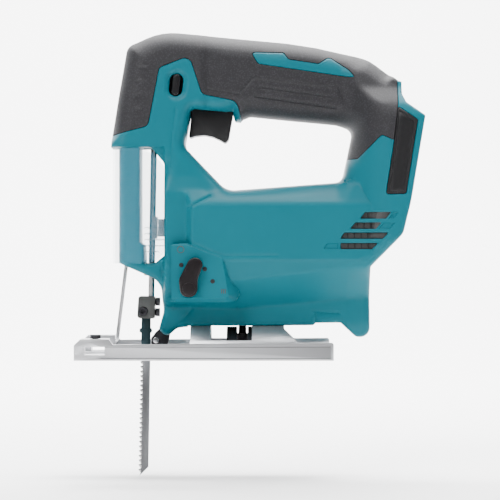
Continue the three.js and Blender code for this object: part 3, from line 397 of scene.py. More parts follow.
class Skin:
    """One half of the body as a height field: y is the outer half width over x and z."""

    def __init__(self, near):
        self.near = near
        self.rims = [OUTER, HOLE, WINDOW]
        self.bores = [BUTTON_LOOP] + ([CAM_LOOP] if near else [])
        if not near:
            self.bores += [circle((x, z), SCREW_BORE, 24) for x, z, _ in SCREWS.values()]
        self.holes = VENT_LOOPS + self.bores
        self.seams = [GRIP_LOOP, INLAY_LOOP, TRIM_LOOP]
        self.lines = [
            (resampled(np.array(route, float), 1.0, False), depth, width)
            for route, depth, width in GROOVES + RIDGES
        ]

    def outer(self, points):
        width = base_width(points)
        if self.near:
            face_gap = distance(points, [(FACE_LOOP, True)])
            bevel = np.where(inside(points, FACE_LOOP), 0, 1.35 * face_gap)
            width = np.where(inside(points, PLATE_LOOP), np.maximum(width, PLATE_LEVEL - bevel), width)
        for loop in BLIND_LOOPS:
            near_by = distance(points, [(loop, True)])
            width = width - np.where(inside(points, loop), 0.6 * np.minimum(near_by / 0.35, 1), 0)
        for line, depth, spread in self.lines:
            gap = distance(points, [(line, False)])
            width = width - depth * np.exp(-(gap / spread) ** 2)
        bowl = distance(points, [(BUTTON_LOOP, True)])
        width = width - BOWL_DEPTH * (1 - step_between(bowl, 0.3, 3.4))
        if self.near:
            dish = np.hypot(points[:, 0] - LEVER_PIVOT[0], points[:, 1] - LEVER_PIVOT[1])
            width = width - 0.5 * (1 - step_between(dish, 5.2, 5.8))
        rim = distance(points, [(r, True) for r in self.rims])
        radius = np.minimum(edge_radius(points), width - 0.8)
        short = np.clip(radius - rim, 0, None)
        width = width - (radius - np.sqrt(np.maximum(radius ** 2 - short ** 2, 0)))
        hole = distance(points, [(h, True) for h in self.holes])
        width = width - 0.35 * np.clip(1 - hole / 0.5, 0, 1) ** 2
        seam = distance(points, [(s, True) for s in self.seams])
        width = width - SEAM_DEPTH * np.clip(1 - seam / SEAM_WIDTH, 0, 1) ** 2
        return np.maximum(width, MIDDLE_PLANE + 0.25)

    def inner(self, points, outer):
        rim = distance(points, [(r, True) for r in self.rims])
        collar = distance(points, [(b, True) for b in self.bores])
        depth = np.maximum(outer - SKIN, MIDDLE_PLANE)
        depth = np.where((rim < 2.8) | (collar < 1.8), MIDDLE_PLANE, depth)
        floor_gap = (points[:, 0] - BAY_FLOOR[0]) - (points[:, 1] - BAY_FLOOR[1]) * math.tan(BAY_TILT)
        height = points[:, 1]
        bay_wall = (height > 78) & (height < 170) & (floor_gap > -3) & (floor_gap < 0.5)
        bay_roof = (height > 166) & (points[:, 0] > 112)
        depth = np.where(bay_wall | bay_roof, MIDDLE_PLANE, depth)
        for loop, clear in POCKETS:
            depth = np.where(inside(points, loop), np.maximum(clear, MIDDLE_PLANE), depth)
        return np.minimum(depth, outer - THINNEST)

    def free_points(self):
        points = []
        for loop in self.rims:
            along = np.roll(loop, -1, axis=0) - loop
            normal = crosswise(along)
            middle = loop + along / 2
            for k, ring in enumerate(RINGS):
                spots = middle[:: 2 if ring > 4 else 1]
                sides = normal[:: 2 if ring > 4 else 1]
                both = np.concatenate([spots + sides * ring, spots - sides * ring])
                gap = distance(both, [(r, True) for r in self.rims])
                points.append(both[np.abs(gap - ring) < 0.06 + 0.08 * ring])
        for loop in self.seams + self.holes + BLIND_LOOPS + ([PLATE_LOOP, FACE_LOOP] if self.near else []):
            points.append(self.beside(loop, SEAM_RINGS, True))
        for line, _, width in self.lines:
            points.append(self.beside(line, (width * 0.5, width), False))
        step = GRID_PITCH
        xs, zs = np.arange(-60, 140, step), np.arange(12, 210, step * 0.87)
        grid = np.array([(x + (row % 2) * step / 2, z) for row, z in enumerate(zs) for x in xs])
        rim = distance(grid, [(r, True) for r in self.rims])
        near_lines = [(s, True) for s in self.seams + self.holes + BLIND_LOOPS + [PLATE_LOOP]]
        near_lines += [(line, False) for line, _, _ in self.lines]
        points.append(grid[(rim > RINGS[-1] + 0.5) & (distance(grid, near_lines) > 1.2)])
        everything = np.concatenate(points)
        keep = inside(everything, OUTER) & ~inside(everything, HOLE) & ~inside(everything, WINDOW)
        return everything[keep]

    def beside(self, line, gaps, closed):
        ahead = np.roll(line, -1, axis=0) if closed else np.append(line[1:], line[-1:] * 2 - line[-2:-1], 0)
        normal = crosswise(ahead - line)
        found = np.concatenate([line + normal * g * side for g in gaps for side in (1, -1)])
        own = distance(found, [(line, closed)])
        rim = distance(found, [(r, True) for r in self.rims])
        return found[(own > gaps[0] * 0.8) & (rim > 0.3)]

    def triangles(self):
        """Points, triangles and the region of each: 0 shell, 1 grip, 2 inlay, 3 trim, 4 dark sheet of painted
        shade behind the vents.
        """
        verts, edges = [], []

        def add(line, closed):
            first = len(verts)
            verts.extend(map(tuple, line))
            edges.extend((first + i, first + i + 1) for i in range(len(line) - 1))
            if closed:
                edges.append((first + len(line) - 1, first))

        for loop in self.rims + self.holes + self.seams + BLIND_LOOPS:
            add(loop, True)
        if self.near:
            add(PLATE_LOOP, True)
            add(scaled_loop(PLATE_LOOP, 0.12), True)
            add(FACE_LOOP, True)
        for line, _, _ in self.lines:
            add(line, False)
        for fold in FOLDS:
            add(resampled(np.array(fold, float), 1.3, False), False)
        for loop, _ in POCKETS:
            fine = resampled(loop, 2.0)
            add(scaled_loop(fine, -POCKET_LIP), True)
            add(scaled_loop(fine, POCKET_LIP), True)
        verts.extend(map(tuple, self.free_points()))
        out = delaunay_2d_cdt([Vector(v) for v in verts], edges, [], 0, 1e-4, False)
        points = np.array([tuple(v) for v in out[0]])
        faces = np.array(out[2])
        middle = points[faces].mean(1)
        keep = inside(middle, OUTER)
        for hole in [HOLE, WINDOW] + self.bores:
            keep &= ~inside(middle, hole)
        faces, middle = faces[keep], middle[keep]
        region = np.zeros(len(faces), int)
        region[inside(middle, GRIP_LOOP)] = 1
        region[inside(middle, INLAY_LOOP)] = 2
        region[inside(middle, TRIM_LOOP)] = 3
        for vent in VENT_LOOPS:
            region[inside(middle, vent)] = 4
        return points, faces, region


def crosswise(along):
    """Unit vectors at right angles to some directions."""
    length = np.maximum(np.hypot(along[:, 0], along[:, 1]), 1e-9)
    return np.stack([-along[:, 1], along[:, 0]], 1) / length[:, None]


def scaled_loop(loop, gap):
    """A loop moved outwards by gap, corner by corner."""
    before, after = np.roll(loop, 1, axis=0), np.roll(loop, -1, axis=0)
    first = (loop - before) / np.maximum(np.hypot(*(loop - before).T), 1e-9)[:, None]
    second = (after - loop) / np.maximum(np.hypot(*(after - loop).T), 1e-9)[:, None]
    area = (loop[:, 0] * after[:, 1] - after[:, 0] * loop[:, 1]).sum()
    side = 1 if area > 0 else -1
    tangent = first + second
    tangent /= np.maximum(np.hypot(tangent[:, 0], tangent[:, 1]), 1e-9)[:, None]
    normal = np.stack([tangent[:, 1], -tangent[:, 0]], 1) * side
    return loop + normal * gap


def region_mesh(name, points, faces, outer, inner, sign):
    """A closed solid between the outer and inner faces of some triangles."""
    used = np.unique(faces)
    index = -np.ones(len(points), int)
    index[used] = np.arange(len(used))
    tri = index[faces]
    a, b, c = points[faces[:, 0]], points[faces[:, 1]], points[faces[:, 2]]
    turn = (b[:, 0] - a[:, 0]) * (c[:, 1] - a[:, 1]) - (b[:, 1] - a[:, 1]) * (c[:, 0] - a[:, 0])
    tri[turn < 0] = tri[turn < 0][:, ::-1]
    count = len(used)
    top = np.stack([points[used, 0], sign * outer[used], points[used, 1]], 1)
    low = np.stack([points[used, 0], sign * inner[used], points[used, 1]], 1)
    edges = np.concatenate([tri[:, [0, 1]], tri[:, [1, 2]], tri[:, [2, 0]]])
    key = edges[:, 0].astype(np.int64) * count + edges[:, 1]
    back = edges[:, 1].astype(np.int64) * count + edges[:, 0]
    rim = edges[~np.isin(key, back)]
    facing_out = tri if sign < 0 else tri[:, ::-1]
    quads = np.stack([rim[:, 1], rim[:, 0], rim[:, 0] + count, rim[:, 1] + count], 1)
    if sign > 0:
        quads = quads[:, ::-1]
    polys = [list(map(int, f)) for f in facing_out]
    polys += [list(map(int, f)) for f in facing_out[:, ::-1] + count]
    polys += [list(map(int, f)) for f in quads]
    mesh = bpy.data.meshes.new(name)
    mesh.from_pydata([tuple(v * MM) for v in np.concatenate([top, low])], [], polys)
    mesh.update()
    return mesh


# ---- Materials ------------------------------------------------------------------------------
def surface(name, color, roughness, metallic=0.0, grain=1500.0, bump=0.25, depth=0.00004,
            vary=0.08, wear=0.25, stretch=(1, 1, 1), cells=0.0, alpha=1.0, streak=0.0,
            specular=0.5):
    """A procedural finish: colour drift, fine grain, uneven gloss, worn edges and painted shade in hollows.
    """
    made = bpy.data.materials.new(name)
    made.use_nodes = True
    tree = made.node_tree
    tree.nodes.clear()
    link = tree.links.new

    def node(kind, **settings):
        new = tree.nodes.new(kind)
        for key, value in settings.items():
            if key in new.inputs:
                new.inputs[key].default_value = value
            else:
                setattr(new, key, value)
        return new

    def tinted(scale):
        return tuple(min(1.0, c * scale) for c in color) + (1.0,)

    def mixed(share, low, high):
        mix = node("ShaderNodeMix", data_type="RGBA")
        link(share, mix.inputs[0])
        for socket, value in ((mix.inputs[6], low), (mix.inputs[7], high)):
            if isinstance(value, tuple):
                socket.default_value = value
            else:
                link(value, socket)
        return mix.outputs[2]

    def ranged(value, from_min, from_max, to_min, to_max):
        span = node("ShaderNodeMapRange")
        ends = {"From Min": from_min, "From Max": from_max, "To Min": to_min, "To Max": to_max}
        for key, end in ends.items():
            span.inputs[key].default_value = end
        link(value, span.inputs["Value"])
        return span.outputs["Result"]

    def combined(operation, first, second):
        sums = node("ShaderNodeMath", operation=operation)
        link(first, sums.inputs[0])
        if isinstance(second, float):
            sums.inputs[1].default_value = second
        else:
            link(second, sums.inputs[1])
        return sums.outputs["Value"]

    shader = node("ShaderNodeBsdfPrincipled", Metallic=metallic, Alpha=alpha)
    shader.inputs["Specular IOR Level"].default_value = specular
    output = node("ShaderNodeOutputMaterial")
    link(shader.outputs["BSDF"], output.inputs["Surface"])
    place = node("ShaderNodeTexCoord").outputs["Object"]
    mapping = node("ShaderNodeMapping", Scale=stretch)
    link(place, mapping.inputs["Vector"])
    broad = node("ShaderNodeTexNoise", Scale=38.0, Detail=3.0)
    fine = node("ShaderNodeTexNoise", Scale=grain, Detail=4.0, Roughness=0.6)
    link(place, broad.inputs["Vector"])
    link(mapping.outputs["Vector"], fine.inputs["Vector"])
    pointiness = node("ShaderNodeNewGeometry").outputs["Pointiness"]
    height = fine.outputs["Fac"]
    last = mixed(broad.outputs["Fac"], tinted(1 - vary), tinted(1 + vary))
    if cells:
        pits = node("ShaderNodeTexVoronoi", Scale=cells)
        link(place, pits.inputs["Vector"])
        dots = ranged(pits.outputs["Distance"], 0.12, 0.5, 1.0, 0.0)
        last = mixed(combined("MULTIPLY", dots, 0.55), last, tinted(2.6))
        height = combined("ADD", dots, height)
    if streak:
        last = mixed(fine.outputs["Fac"], last, tinted(1 - streak))
    if wear:
        worn = tuple(min(1.0, c * 1.5 + 0.05) for c in color) + (1.0,)
        last = mixed(ranged(pointiness, 0.515, 0.6, 0.0, wear), last, worn)
    # Painted shade: hollows and creases are darkened towards a tenth of the colour, on every opaque finish.
    if alpha == 1.0:
        last = mixed(ranged(pointiness, 0.4, 0.485, 0.75, 0.0), last, tinted(0.12))
    link(last, shader.inputs["Base Color"])
    gloss = ranged(fine.outputs["Fac"], 0.0, 1.0, max(0.03, roughness - 0.07), min(1.0, roughness + 0.07))
    link(gloss, shader.inputs["Roughness"])
    relief = node("ShaderNodeBump", Strength=bump, Distance=depth)
    link(height, relief.inputs["Height"])
    link(relief.outputs["Normal"], shader.inputs["Normal"])
    made.diffuse_color = tuple(color) + (alpha,)
    return made


TEAL = surface(
    "teal_plastic", (0.0004, 0.088, 0.116), 0.4,
    grain=2400, bump=0.22, vary=0.04, wear=0.08, specular=0.12,
)
RUBBER = surface(
    "soft_rubber", (0.0115, 0.0112, 0.0132), 0.6,
    grain=2600, bump=0.5, cells=950, vary=0.12, wear=0.15, specular=0.22,
)
DARK_TRIM = surface(
    "dark_trim_plastic", (0.0045, 0.0044, 0.0052), 0.5,
    grain=2600, bump=0.3, wear=0.2, specular=0.2,
)
BLACK = surface(
    "black_plastic", (0.0028, 0.0028, 0.0034), 0.42,
    grain=2400, bump=0.25, wear=0.15, specular=0.2,
)
PLUM = surface("plum_plastic", (0.0038, 0.0022, 0.003), 0.4, grain=2400, bump=0.25, wear=0.2, specular=0.18)
CAST = surface(
    "cast_alloy", (0.4, 0.405, 0.42), 0.36,
    metallic=0.85, grain=1300, bump=0.5, depth=0.00008, vary=0.08, wear=0.5,
)
SCREW = surface(
    "zinc_steel", (0.42, 0.42, 0.43), 0.3,
    metallic=1, grain=1500, bump=0.15, stretch=(1, 12, 1), wear=0.2,
)
GROUND = surface(
    "ground_steel", (0.5, 0.5, 0.51), 0.22,
    metallic=1, grain=900, bump=0.12, stretch=(1, 1, 14), streak=0.15,
)
MOTOR = surface("motor_steel", (0.12, 0.12, 0.125), 0.45, metallic=0.9, grain=1200, bump=0.2)
DARK_STEEL = surface(
    "black_oxide_steel", (0.02, 0.02, 0.023), 0.36,
    metallic=0.85, grain=1500, bump=0.25, wear=0.5,
)
HOLDER = surface("sintered_steel", (0.045, 0.047, 0.046), 0.5, metallic=0.8, grain=1700, bump=0.4, wear=0.5)
BLADE = surface(
    "blade_steel", (0.12, 0.122, 0.128), 0.4,
    metallic=0.8, grain=700, bump=0.18, stretch=(14, 1, 1), streak=0.25, wear=0.5,
)
BLADE_SHANK = surface(
    "blade_shank_paint", (0.004, 0.022, 0.028), 0.35,
    metallic=0.5, grain=1500, bump=0.2, wear=0.3,
)
TOOTH = surface("ground_tooth_steel", (0.3, 0.3, 0.3), 0.25, metallic=1, grain=1400, bump=0.15)
BRASS = surface(
    "contact_brass", (0.6, 0.44, 0.17), 0.3,
    metallic=1, grain=900, bump=0.12, stretch=(1, 1, 8),
)
COPPER = surface(
    "turned_copper", (0.5, 0.22, 0.1), 0.32,
    metallic=1, grain=900, bump=0.1, stretch=(8, 1, 1),
)
CARBON = surface("sintered_carbon", (0.02, 0.02, 0.02), 0.75, grain=1800, bump=0.4)
BOARD = surface("circuit_board", (0.02, 0.12, 0.06), 0.35, grain=1400, bump=0.15)
LENS = surface("lamp_lens", (0.8, 0.85, 0.9), 0.12, grain=900, bump=0.1, alpha=0.55)
WIRE = surface("guard_wire", (0.4, 0.4, 0.41), 0.28, metallic=1, grain=900, bump=0.15, stretch=(1, 1, 10))
CLEAR = surface(
    "clear_polycarbonate", (0.1, 0.3, 0.42), 0.1,
    grain=260, bump=0.06, depth=0.0001, vary=0.02, wear=0.1, specular=0.12, alpha=0.12,
)
CLEAR_RIB = surface(
    "clear_polycarbonate_ribs", (0.16, 0.3, 0.38), 0.14,
    grain=400, bump=0.06, vary=0.02, wear=0.3, alpha=0.32,
)

NODE_FINISH = {
    "gear_case": CAST, "gear_spindle": GROUND, "front_bearing": GROUND, "rear_bearing": GROUND,
    "motor_can": MOTOR, "field_magnet_left": CARBON, "field_magnet_right": CARBON,
    "brush_upper": CARBON, "brush_lower": CARBON, "plunger_guide_upper": BRASS,
    "plunger_guide_lower": BRASS, "switch_body": BLACK, "control_board": BOARD,
    "armature_shaft": GROUND, "lamination_stack": MOTOR, "commutator": COPPER,
    "cooling_fan": BLACK, "drive_pinion": GROUND, "crank_gear": GROUND, "crank_pin": GROUND,
    "plunger_rod": GROUND, "plunger_yoke": GROUND, "counterweight": HOLDER,
    "orbit_cam": GROUND, "arm_pivot_pin": GROUND,
}
# Nodes shown as bevelled copies: finish, edge radius, record slot.
DRESSED = {
    "shoe": (CAST, 0.45, "cast_alloy"), "fence_screw": (DARK_STEEL, 0.25, "black_oxide"),
    "clamp_plate": (DARK_STEEL, 0.25, "black_oxide"), "shoe_bolt": (DARK_STEEL, 0.25, "black_oxide"),
    "orbit_lever": (PLUM, 0.45, "plum_nylon"), "trigger": (BLACK, 0.7, "trigger_black"),
    "lock_button": (BLACK, 0.6, "trigger_black"), "finger_guard": (WIRE, 0.1, "guard_wire"),
    "blade_holder": (HOLDER, 0.3, "holder_steel"), "clamp_bolt": (DARK_STEEL, 0.2, "black_oxide"),
    "holder_screw_upper": (DARK_STEEL, 0.2, "black_oxide"),
    "holder_screw_lower": (DARK_STEEL, 0.2, "black_oxide"),
    "roller_arm": (DARK_STEEL, 0.3, "black_oxide"), "roller_pin": (GROUND, 0.4, "ground_steel"),
    "guide_roller": (GROUND, 0.2, "ground_steel"), "terminal_block": (BLACK, 0.25, "black_nylon"),
    "terminal_plus": (BRASS, 0.1, "contact_brass"), "terminal_minus": (BRASS, 0.1, "contact_brass"),
    "work_lamp": (LENS, 0.2, "lamp_lens"),
}


# ---- Mesh helpers ---------------------------------------------------------------------------
def placed(name, data):
    made = bpy.data.objects.new(name, data)
    bpy.context.scene.collection.objects.link(made)
    return made


def piece(name, mesh, finish, body, replaced=()):
    for polygon in mesh.polygons:
        polygon.use_smooth = True
    mesh.set_sharp_from_angle(angle=math.radians(38))
    mesh.materials.clear()
    mesh.materials.append(finish)
    made = placed(name, mesh)
    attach(made, body)
    if replaced:
        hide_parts(*replaced)
    return made


def body_of_node(node):
    return next(b for b, nodes in frame["record"]["behaviour"]["bodies"].items() if node in nodes)


def is_closed(bm):
    return all(len(e.link_faces) == 2 for e in bm.edges)


def bevelled(bm, edges, radius):
    bmesh.ops.bevel(bm, geom=edges, offset=radius * MM, offset_type="OFFSET", segments=2,
                    profile=0.5, affect="EDGES", clamp_overlap=True)


def finished_mesh(bm, name):
    """The bmesh with outward faces, as a mesh."""
    bmesh.ops.recalc_face_normals(bm, faces=bm.faces)
    return plain_mesh(bm, name)


def plain_mesh(bm, name):
    mesh = bpy.data.meshes.new(name)
    bm.to_mesh(mesh)
    bm.free()
    return mesh


def dressed(node, finish, radius):
    """A copy of a CAD node with its flat faces joined up and its edges rounded."""
    source = frame["nodes"][node].data
    for attempt in (radius, radius / 2, 0.0):
        bm = bmesh.new()
        bm.from_mesh(source)
        bmesh.ops.remove_doubles(bm, verts=bm.verts, dist=0.000004)
        bmesh.ops.dissolve_limit(bm, angle_limit=math.radians(0.6), verts=bm.verts, edges=bm.edges)
        sharp = [e for e in bm.edges if len(e.link_faces) == 2 and e.calc_face_angle(0) > math.radians(34)]
        if attempt and sharp:
            bevelled(bm, sharp, attempt)
        bmesh.ops.triangulate(bm, faces=[f for f in bm.faces if len(f.verts) > 4])
        if is_closed(bm):
            break
        bm.free()
    mesh = plain_mesh(bm, node + "_dressed")
    return piece(node + "_dressed", mesh, finish, body_of_node(node), (node,))


def cut_away(target, cutter):
    """Cuts one mesh object out of another and removes the cutter."""
    modifier = target.modifiers.new("cut", "BOOLEAN")
    modifier.operation = "DIFFERENCE"
    modifier.solver = "EXACT"
    modifier.object = cutter
    bpy.context.view_layer.update()
    evaluated = target.evaluated_get(bpy.context.evaluated_depsgraph_get())
    mesh = bpy.data.meshes.new_from_object(evaluated)
    target.modifiers.remove(modifier)
    old = target.data
    target.data = mesh
    bpy.data.meshes.remove(old)
    bpy.data.objects.remove(cutter)


def bar_along_x(radius, x0, x1, sides=96):
    bm = bmesh.new()
    bmesh.ops.create_cone(bm, cap_ends=True, segments=sides, radius1=radius * MM, radius2=radius * MM,
                          depth=(x1 - x0) * MM)
    middle = Matrix.Translation(((x0 + x1) / 2 * MM, 0, 0))
    bmesh.ops.transform(bm, matrix=middle @ Matrix.Rotation(math.pi / 2, 4, "Y"), verts=bm.verts)
    mesh = plain_mesh(bm, "bar")
    made = placed("bar", mesh)
    return made


def joined(bm, rings, extra=()):
    """Bands of quads from each ring of vertices to the next."""
    for a, b in zip(rings, [*rings[1:], *extra]):
        for k in range(len(a)):
            n = (k + 1) % len(a)
            bm.faces.new((a[k], a[n], b[n], b[k]))


# ---- Housing, overmould and trim ------------------------------------------------------------
def add_body():
    names = {
        0: ("shell", TEAL, "housing", "teal_nylon"), 1: ("grip_skin", RUBBER, "grip", "soft_grip"),
        2: ("handle_inlay", TEAL, None, "teal_nylon"),
        3: ("trim", DARK_TRIM, "trim_panel", "dark_trim"),
        4: ("vent_floor", CARBON, None, "black_nylon"),
    }
    for near, sign, side in ((True, -1, "left"), (False, 1, "right")):
        skin = Skin(near)
        points, faces, region = skin.triangles()
        outer = skin.outer(points)
        inner = skin.inner(points, outer)
        for key, (stem, finish, node, slot) in names.items():
            top, low = outer, inner
            # Region 4 is a dark sheet just inside the vent slots: painted shade standing in for the dark
            # inside of the housing.
            if key == 4:
                top = np.maximum(outer - VENT_DEPTH, inner + 0.25)
                low = np.minimum(outer - VENT_DEPTH - VENT_SHADE_SHEET, inner)
            if key in (1, 3):
                edge = distance(points, [(loop, True) for loop in skin.rims + skin.bores])
                least = inner + LEAST_CORE
                low = np.where(edge < 0.15, least, np.maximum(outer - LAYER, least))
                core = region_mesh(f"{stem}_core_{side}", points, faces[region == key], low, inner, sign)
                piece(f"{stem}_core_{side}", core, TEAL, "housing", ())
            mesh = region_mesh(f"{stem}_{side}", points, faces[region == key], top, low, sign)
            replaced = (f"{node}_{side}",) if node else ()
            if key == 0:
                made = placed("blank", mesh)
                cut_away(made, bar_along_x(*MOTOR_SPACE))
                mesh = made.data
                bpy.data.objects.remove(made)
            piece(f"{stem}_{side}", mesh, finish, "housing", replaced)


# ---- Dust cover -----------------------------------------------------------------------------
def add_dust_cover():
    low, high, front, side, wall = 60.4, 133.5, -59.1, 21.0, 1.5
    rear_edge = [(60.4, -40.5), (61.4, -33.5), (63.4, -29), (66.6, -26), (70, -25.3), (119, -25.3),
                 (122.6, -26.2), (126, -29), (129.6, -32.6), (132.4, -36.6), (133.5, -41)]
    plan = rounded([
        (-25.3, -side, 0), (front + 1.2, -side, 8.6), (front, 0, 60), (front + 1.2, side, 8.6),
        (-25.3, side, 0),
    ], 6)
    half = resampled(plan, 1.2, False)
    half = half[half[:, 1] <= 0.01][::-1]
    rows = sorted(set(np.round(np.concatenate([np.linspace(low, high, 44), [z for z, _ in rear_edge]]), 3)))
    reach = np.interp(rows, [z for z, _ in rear_edge], [x for _, x in rear_edge])
    along = np.concatenate([[0], np.cumsum(np.hypot(*np.diff(half, axis=0).T))])
    columns = 44
    bm = bmesh.new()
    grid = []
    for z, x_end in zip(rows, reach):
        end = along[-1] - (half[-1][0] - x_end)
        spots = np.linspace(0, 1, columns) ** 0.95 * end
        xs, ys = np.interp(spots, along, half[:, 0]), np.interp(spots, along, half[:, 1])
        line = list(zip(xs, ys))
        full = [(x, -y) for x, y in line[:0:-1]] + line
        path = np.array(full)
        tangent = np.gradient(path, axis=0)
        tangent /= np.maximum(np.hypot(tangent[:, 0], tangent[:, 1]), 1e-9)[:, None]
        inward = np.stack([-tangent[:, 1], tangent[:, 0]], 1)
        if (inward[len(path) // 2][0]) < 0:
            inward = -inward
        inner_path = path + inward * wall
        grid.append([[bm.verts.new((x * MM, y * MM, z * MM)) for x, y in p] for p in (path, inner_path)])
    count = len(grid[0][0])
    for a, b in zip(grid, grid[1:]):
        for k in range(count - 1):
            bm.faces.new((a[0][k], a[0][k + 1], b[0][k + 1], b[0][k]))
            bm.faces.new((a[1][k + 1], a[1][k], b[1][k], b[1][k + 1]))
        bm.faces.new((a[0][0], b[0][0], b[1][0], a[1][0]))
        bm.faces.new((a[0][-1], a[1][-1], b[1][-1], b[0][-1]))
    for row, order in ((grid[0], 1), (grid[-1], -1)):
        for k in range(count - 1):
            quad = (row[0][k], row[1][k], row[1][k + 1], row[0][k + 1])
            bm.faces.new(quad[::order])
    bmesh.ops.recalc_face_normals(bm, faces=bm.faces)
    rim = [e for e in bm.edges if e.calc_face_angle(0) > math.radians(60)]
    bevelled(bm, rim, 0.35)
    mesh = plain_mesh(bm, "dust_cover_shell")
    piece("dust_cover_shell", mesh, CLEAR, "dust_cover", ("dust_cover",))


SHOE_HALF_WIDTH = 38
RAIL_ENDS = (-64, 79)
RAIL_LINES = (1.4, 8.4)


def add_shoe_lines():
    """Shallow lines cast along the outer face of each rail."""
    shoe = bpy.data.objects["shoe_dressed"]
    front, back = RAIL_ENDS
    for level in RAIL_LINES:
        low, high = level - 0.25, level + 0.25
        for side in (-1, 1):
            corners = [(front, low), (back, low), (back, high), (front, high)]
            cutter = placed("groove", prism("groove", corners, 0.9))
            cutter.location.y = side * SHOE_HALF_WIDTH * MM
            cut_away(shoe, cutter)


# ---- Repeated details -----------------------------------------------------------------------
def rows_tree(name):
    """Geometry nodes: copies of a piece on every point of the mesh, turned by the point's own aim."""
    tree = bpy.data.node_groups.new(name, "GeometryNodeTree")
    for socket, kind in (("Geometry", "Geometry"), ("Piece", "Object"), ("Scale", "Float"),
                         ("Turn Spread", "Float"), ("Seed", "Int"), ("Finish", "Material")):
        tree.interface.new_socket(socket, in_out="INPUT", socket_type="NodeSocket" + kind)
    tree.interface.new_socket("Geometry", in_out="OUTPUT", socket_type="NodeSocketGeometry")
    new = tree.nodes.new
    given, result = new("NodeGroupInput"), new("NodeGroupOutput")
    info = new("GeometryNodeObjectInfo")
    info.transform_space = "ORIGINAL"
    aim = new("GeometryNodeInputNamedAttribute")
    aim.data_type = "FLOAT_VECTOR"
    aim.inputs["Name"].default_value = "aim"
    chance = new("FunctionNodeRandomValue")
    chance.data_type = "FLOAT"
    chance.inputs[2].default_value = -1.0
    chance.inputs[3].default_value = 1.0
    spread = new("ShaderNodeMath")
    spread.operation = "MULTIPLY"
    combine = new("ShaderNodeCombineXYZ")
    turned = new("ShaderNodeVectorMath")
    euler = new("FunctionNodeEulerToRotation")
    copies = new("GeometryNodeInstanceOnPoints")
    real = new("GeometryNodeRealizeInstances")
    paint = new("GeometryNodeSetMaterial")
    for source, leaves, target, enters in (
        (given, "Geometry", copies, "Points"), (given, "Piece", info, "Object"),
        (info, "Geometry", copies, "Instance"), (given, "Scale", copies, "Scale"),
        (given, "Seed", chance, "Seed"), (chance, 1, spread, 0), (given, "Turn Spread", spread, 1),
        (spread, "Value", combine, "Z"), (aim, "Attribute", turned, 0), (combine, "Vector", turned, 1),
        (turned, "Vector", euler, "Euler"), (euler, "Rotation", copies, "Rotation"),
        (copies, "Instances", real, "Geometry"), (real, "Geometry", paint, "Geometry"),
        (given, "Finish", paint, "Material"), (paint, "Geometry", result, "Geometry"),
    ):
        tree.links.new(source.outputs[leaves], target.inputs[enters])
    return tree


def repeated(name, tree, master, spots, aims, finish, body, replaced=(), turn=0.0):
    """Copies of the master mesh at spots (millimetres), baked to one plain mesh on one body."""
    pattern = placed(name + "_master", master)
    mesh = bpy.data.meshes.new(name + "_points")
    mesh.from_pydata([tuple(c * MM for c in s) for s in spots], [], [])
    turns = mesh.attributes.new("aim", "FLOAT_VECTOR", "POINT")
    turns.data.foreach_set("vector", [c for a in aims for c in a])
    holder = placed(name + "_points", mesh)
    modifier = holder.modifiers.new("rows", "NODES")
    modifier.node_group = tree
    values = {"Piece": pattern, "Scale": 1.0, "Turn Spread": turn, "Seed": 7, "Finish": finish}
    for item in tree.interface.items_tree:
        if item.in_out == "INPUT" and item.name in values:
            modifier[item.identifier] = values[item.name]
    holder.update_tag()
    bpy.context.view_layer.update()
    evaluated = holder.evaluated_get(bpy.context.evaluated_depsgraph_get())
    baked = bpy.data.meshes.new_from_object(evaluated)
    holder.modifiers.remove(modifier)
    bpy.data.objects.remove(holder)
    bpy.data.objects.remove(pattern)
    for attribute in [a.name for a in baked.attributes if a.name == "aim"]:
        baked.attributes.remove(baked.attributes[attribute])
    return piece(name, baked, finish, body, replaced)


def lathe(name, profile, sides=32, recess=None):
    """A closed turned mesh about Z from (radius, height) pairs in millimetres, ends on the axis."""
    bm = bmesh.new()
    rings = []
    for radius, height in profile:
        if radius < 1e-6:
            rings.append([bm.verts.new((0, 0, height * MM))])
            continue
        ring = []
        for k in range(sides):
            angle = 2 * math.pi * k / sides
            r = radius
            if recess and height in recess and radius < recess[height][0] + 1e-6:
                r = radius * (1 + recess[height][1] * math.cos(6 * angle))
            ring.append(bm.verts.new((r * MM * math.cos(angle), r * MM * math.sin(angle), height * MM)))
        rings.append(ring)
    for a, b in zip(rings, rings[1:]):
        if len(a) == 1 and len(b) == 1:
            continue
        for k in range(sides):
            n = (k + 1) % sides
            if len(a) == 1:
                bm.faces.new((a[0], b[n], b[k]))
            elif len(b) == 1:
                bm.faces.new((a[k], a[n], b[0]))
            else:
                bm.faces.new((a[k], a[n], b[n], b[k]))
    return finished_mesh(bm, name)


def prism(name, loop, thickness, bevel=0.0):
    """A closed plate: loop in X and Z, thickness across Y, centred on Y = 0."""
    bm = bmesh.new()
    low = [bm.verts.new((x * MM, -thickness / 2 * MM, z * MM)) for x, z in loop]
    top = [bm.verts.new((x * MM, thickness / 2 * MM, z * MM)) for x, z in loop]
    bm.faces.new(low)
    bm.faces.new(top[::-1])
    for k in range(len(loop)):
        n = (k + 1) % len(loop)
        bm.faces.new((low[n], low[k], top[k], top[n]))
    bmesh.ops.recalc_face_normals(bm, faces=bm.faces)
    if bevel:
        bevelled(bm, [e for e in bm.edges if e.calc_face_angle(0) > 0.6], bevel)
    return plain_mesh(bm, name)


def add_screws(tree):
    """Star-drive screws in the far half of the housing."""
    head = lathe("screw_head", [
        (0, 1.4), (1.15, 1.4), (1.35, 2.6), (1.7, 2.75), (3.0, 2.7), (3.3, 2.5), (3.4, 2.1), (3.4, 0.5),
        (3.1, 0.15), (1.6, 0.1), (1.6, -11.2), (1.2, -12.4), (0, -12.4),
    ], 48, {1.4: (1.15, 0.16), 2.6: (1.35, 0.16)})
    spots = [(x, face - 2.9, z) for x, z, face in SCREWS.values()]
    aims = [(-math.pi / 2, 0, 0)] * len(spots)
    repeated("housing_screws", tree, head, spots, aims, SCREW, "housing", tuple(SCREWS),
             turn=0.5)


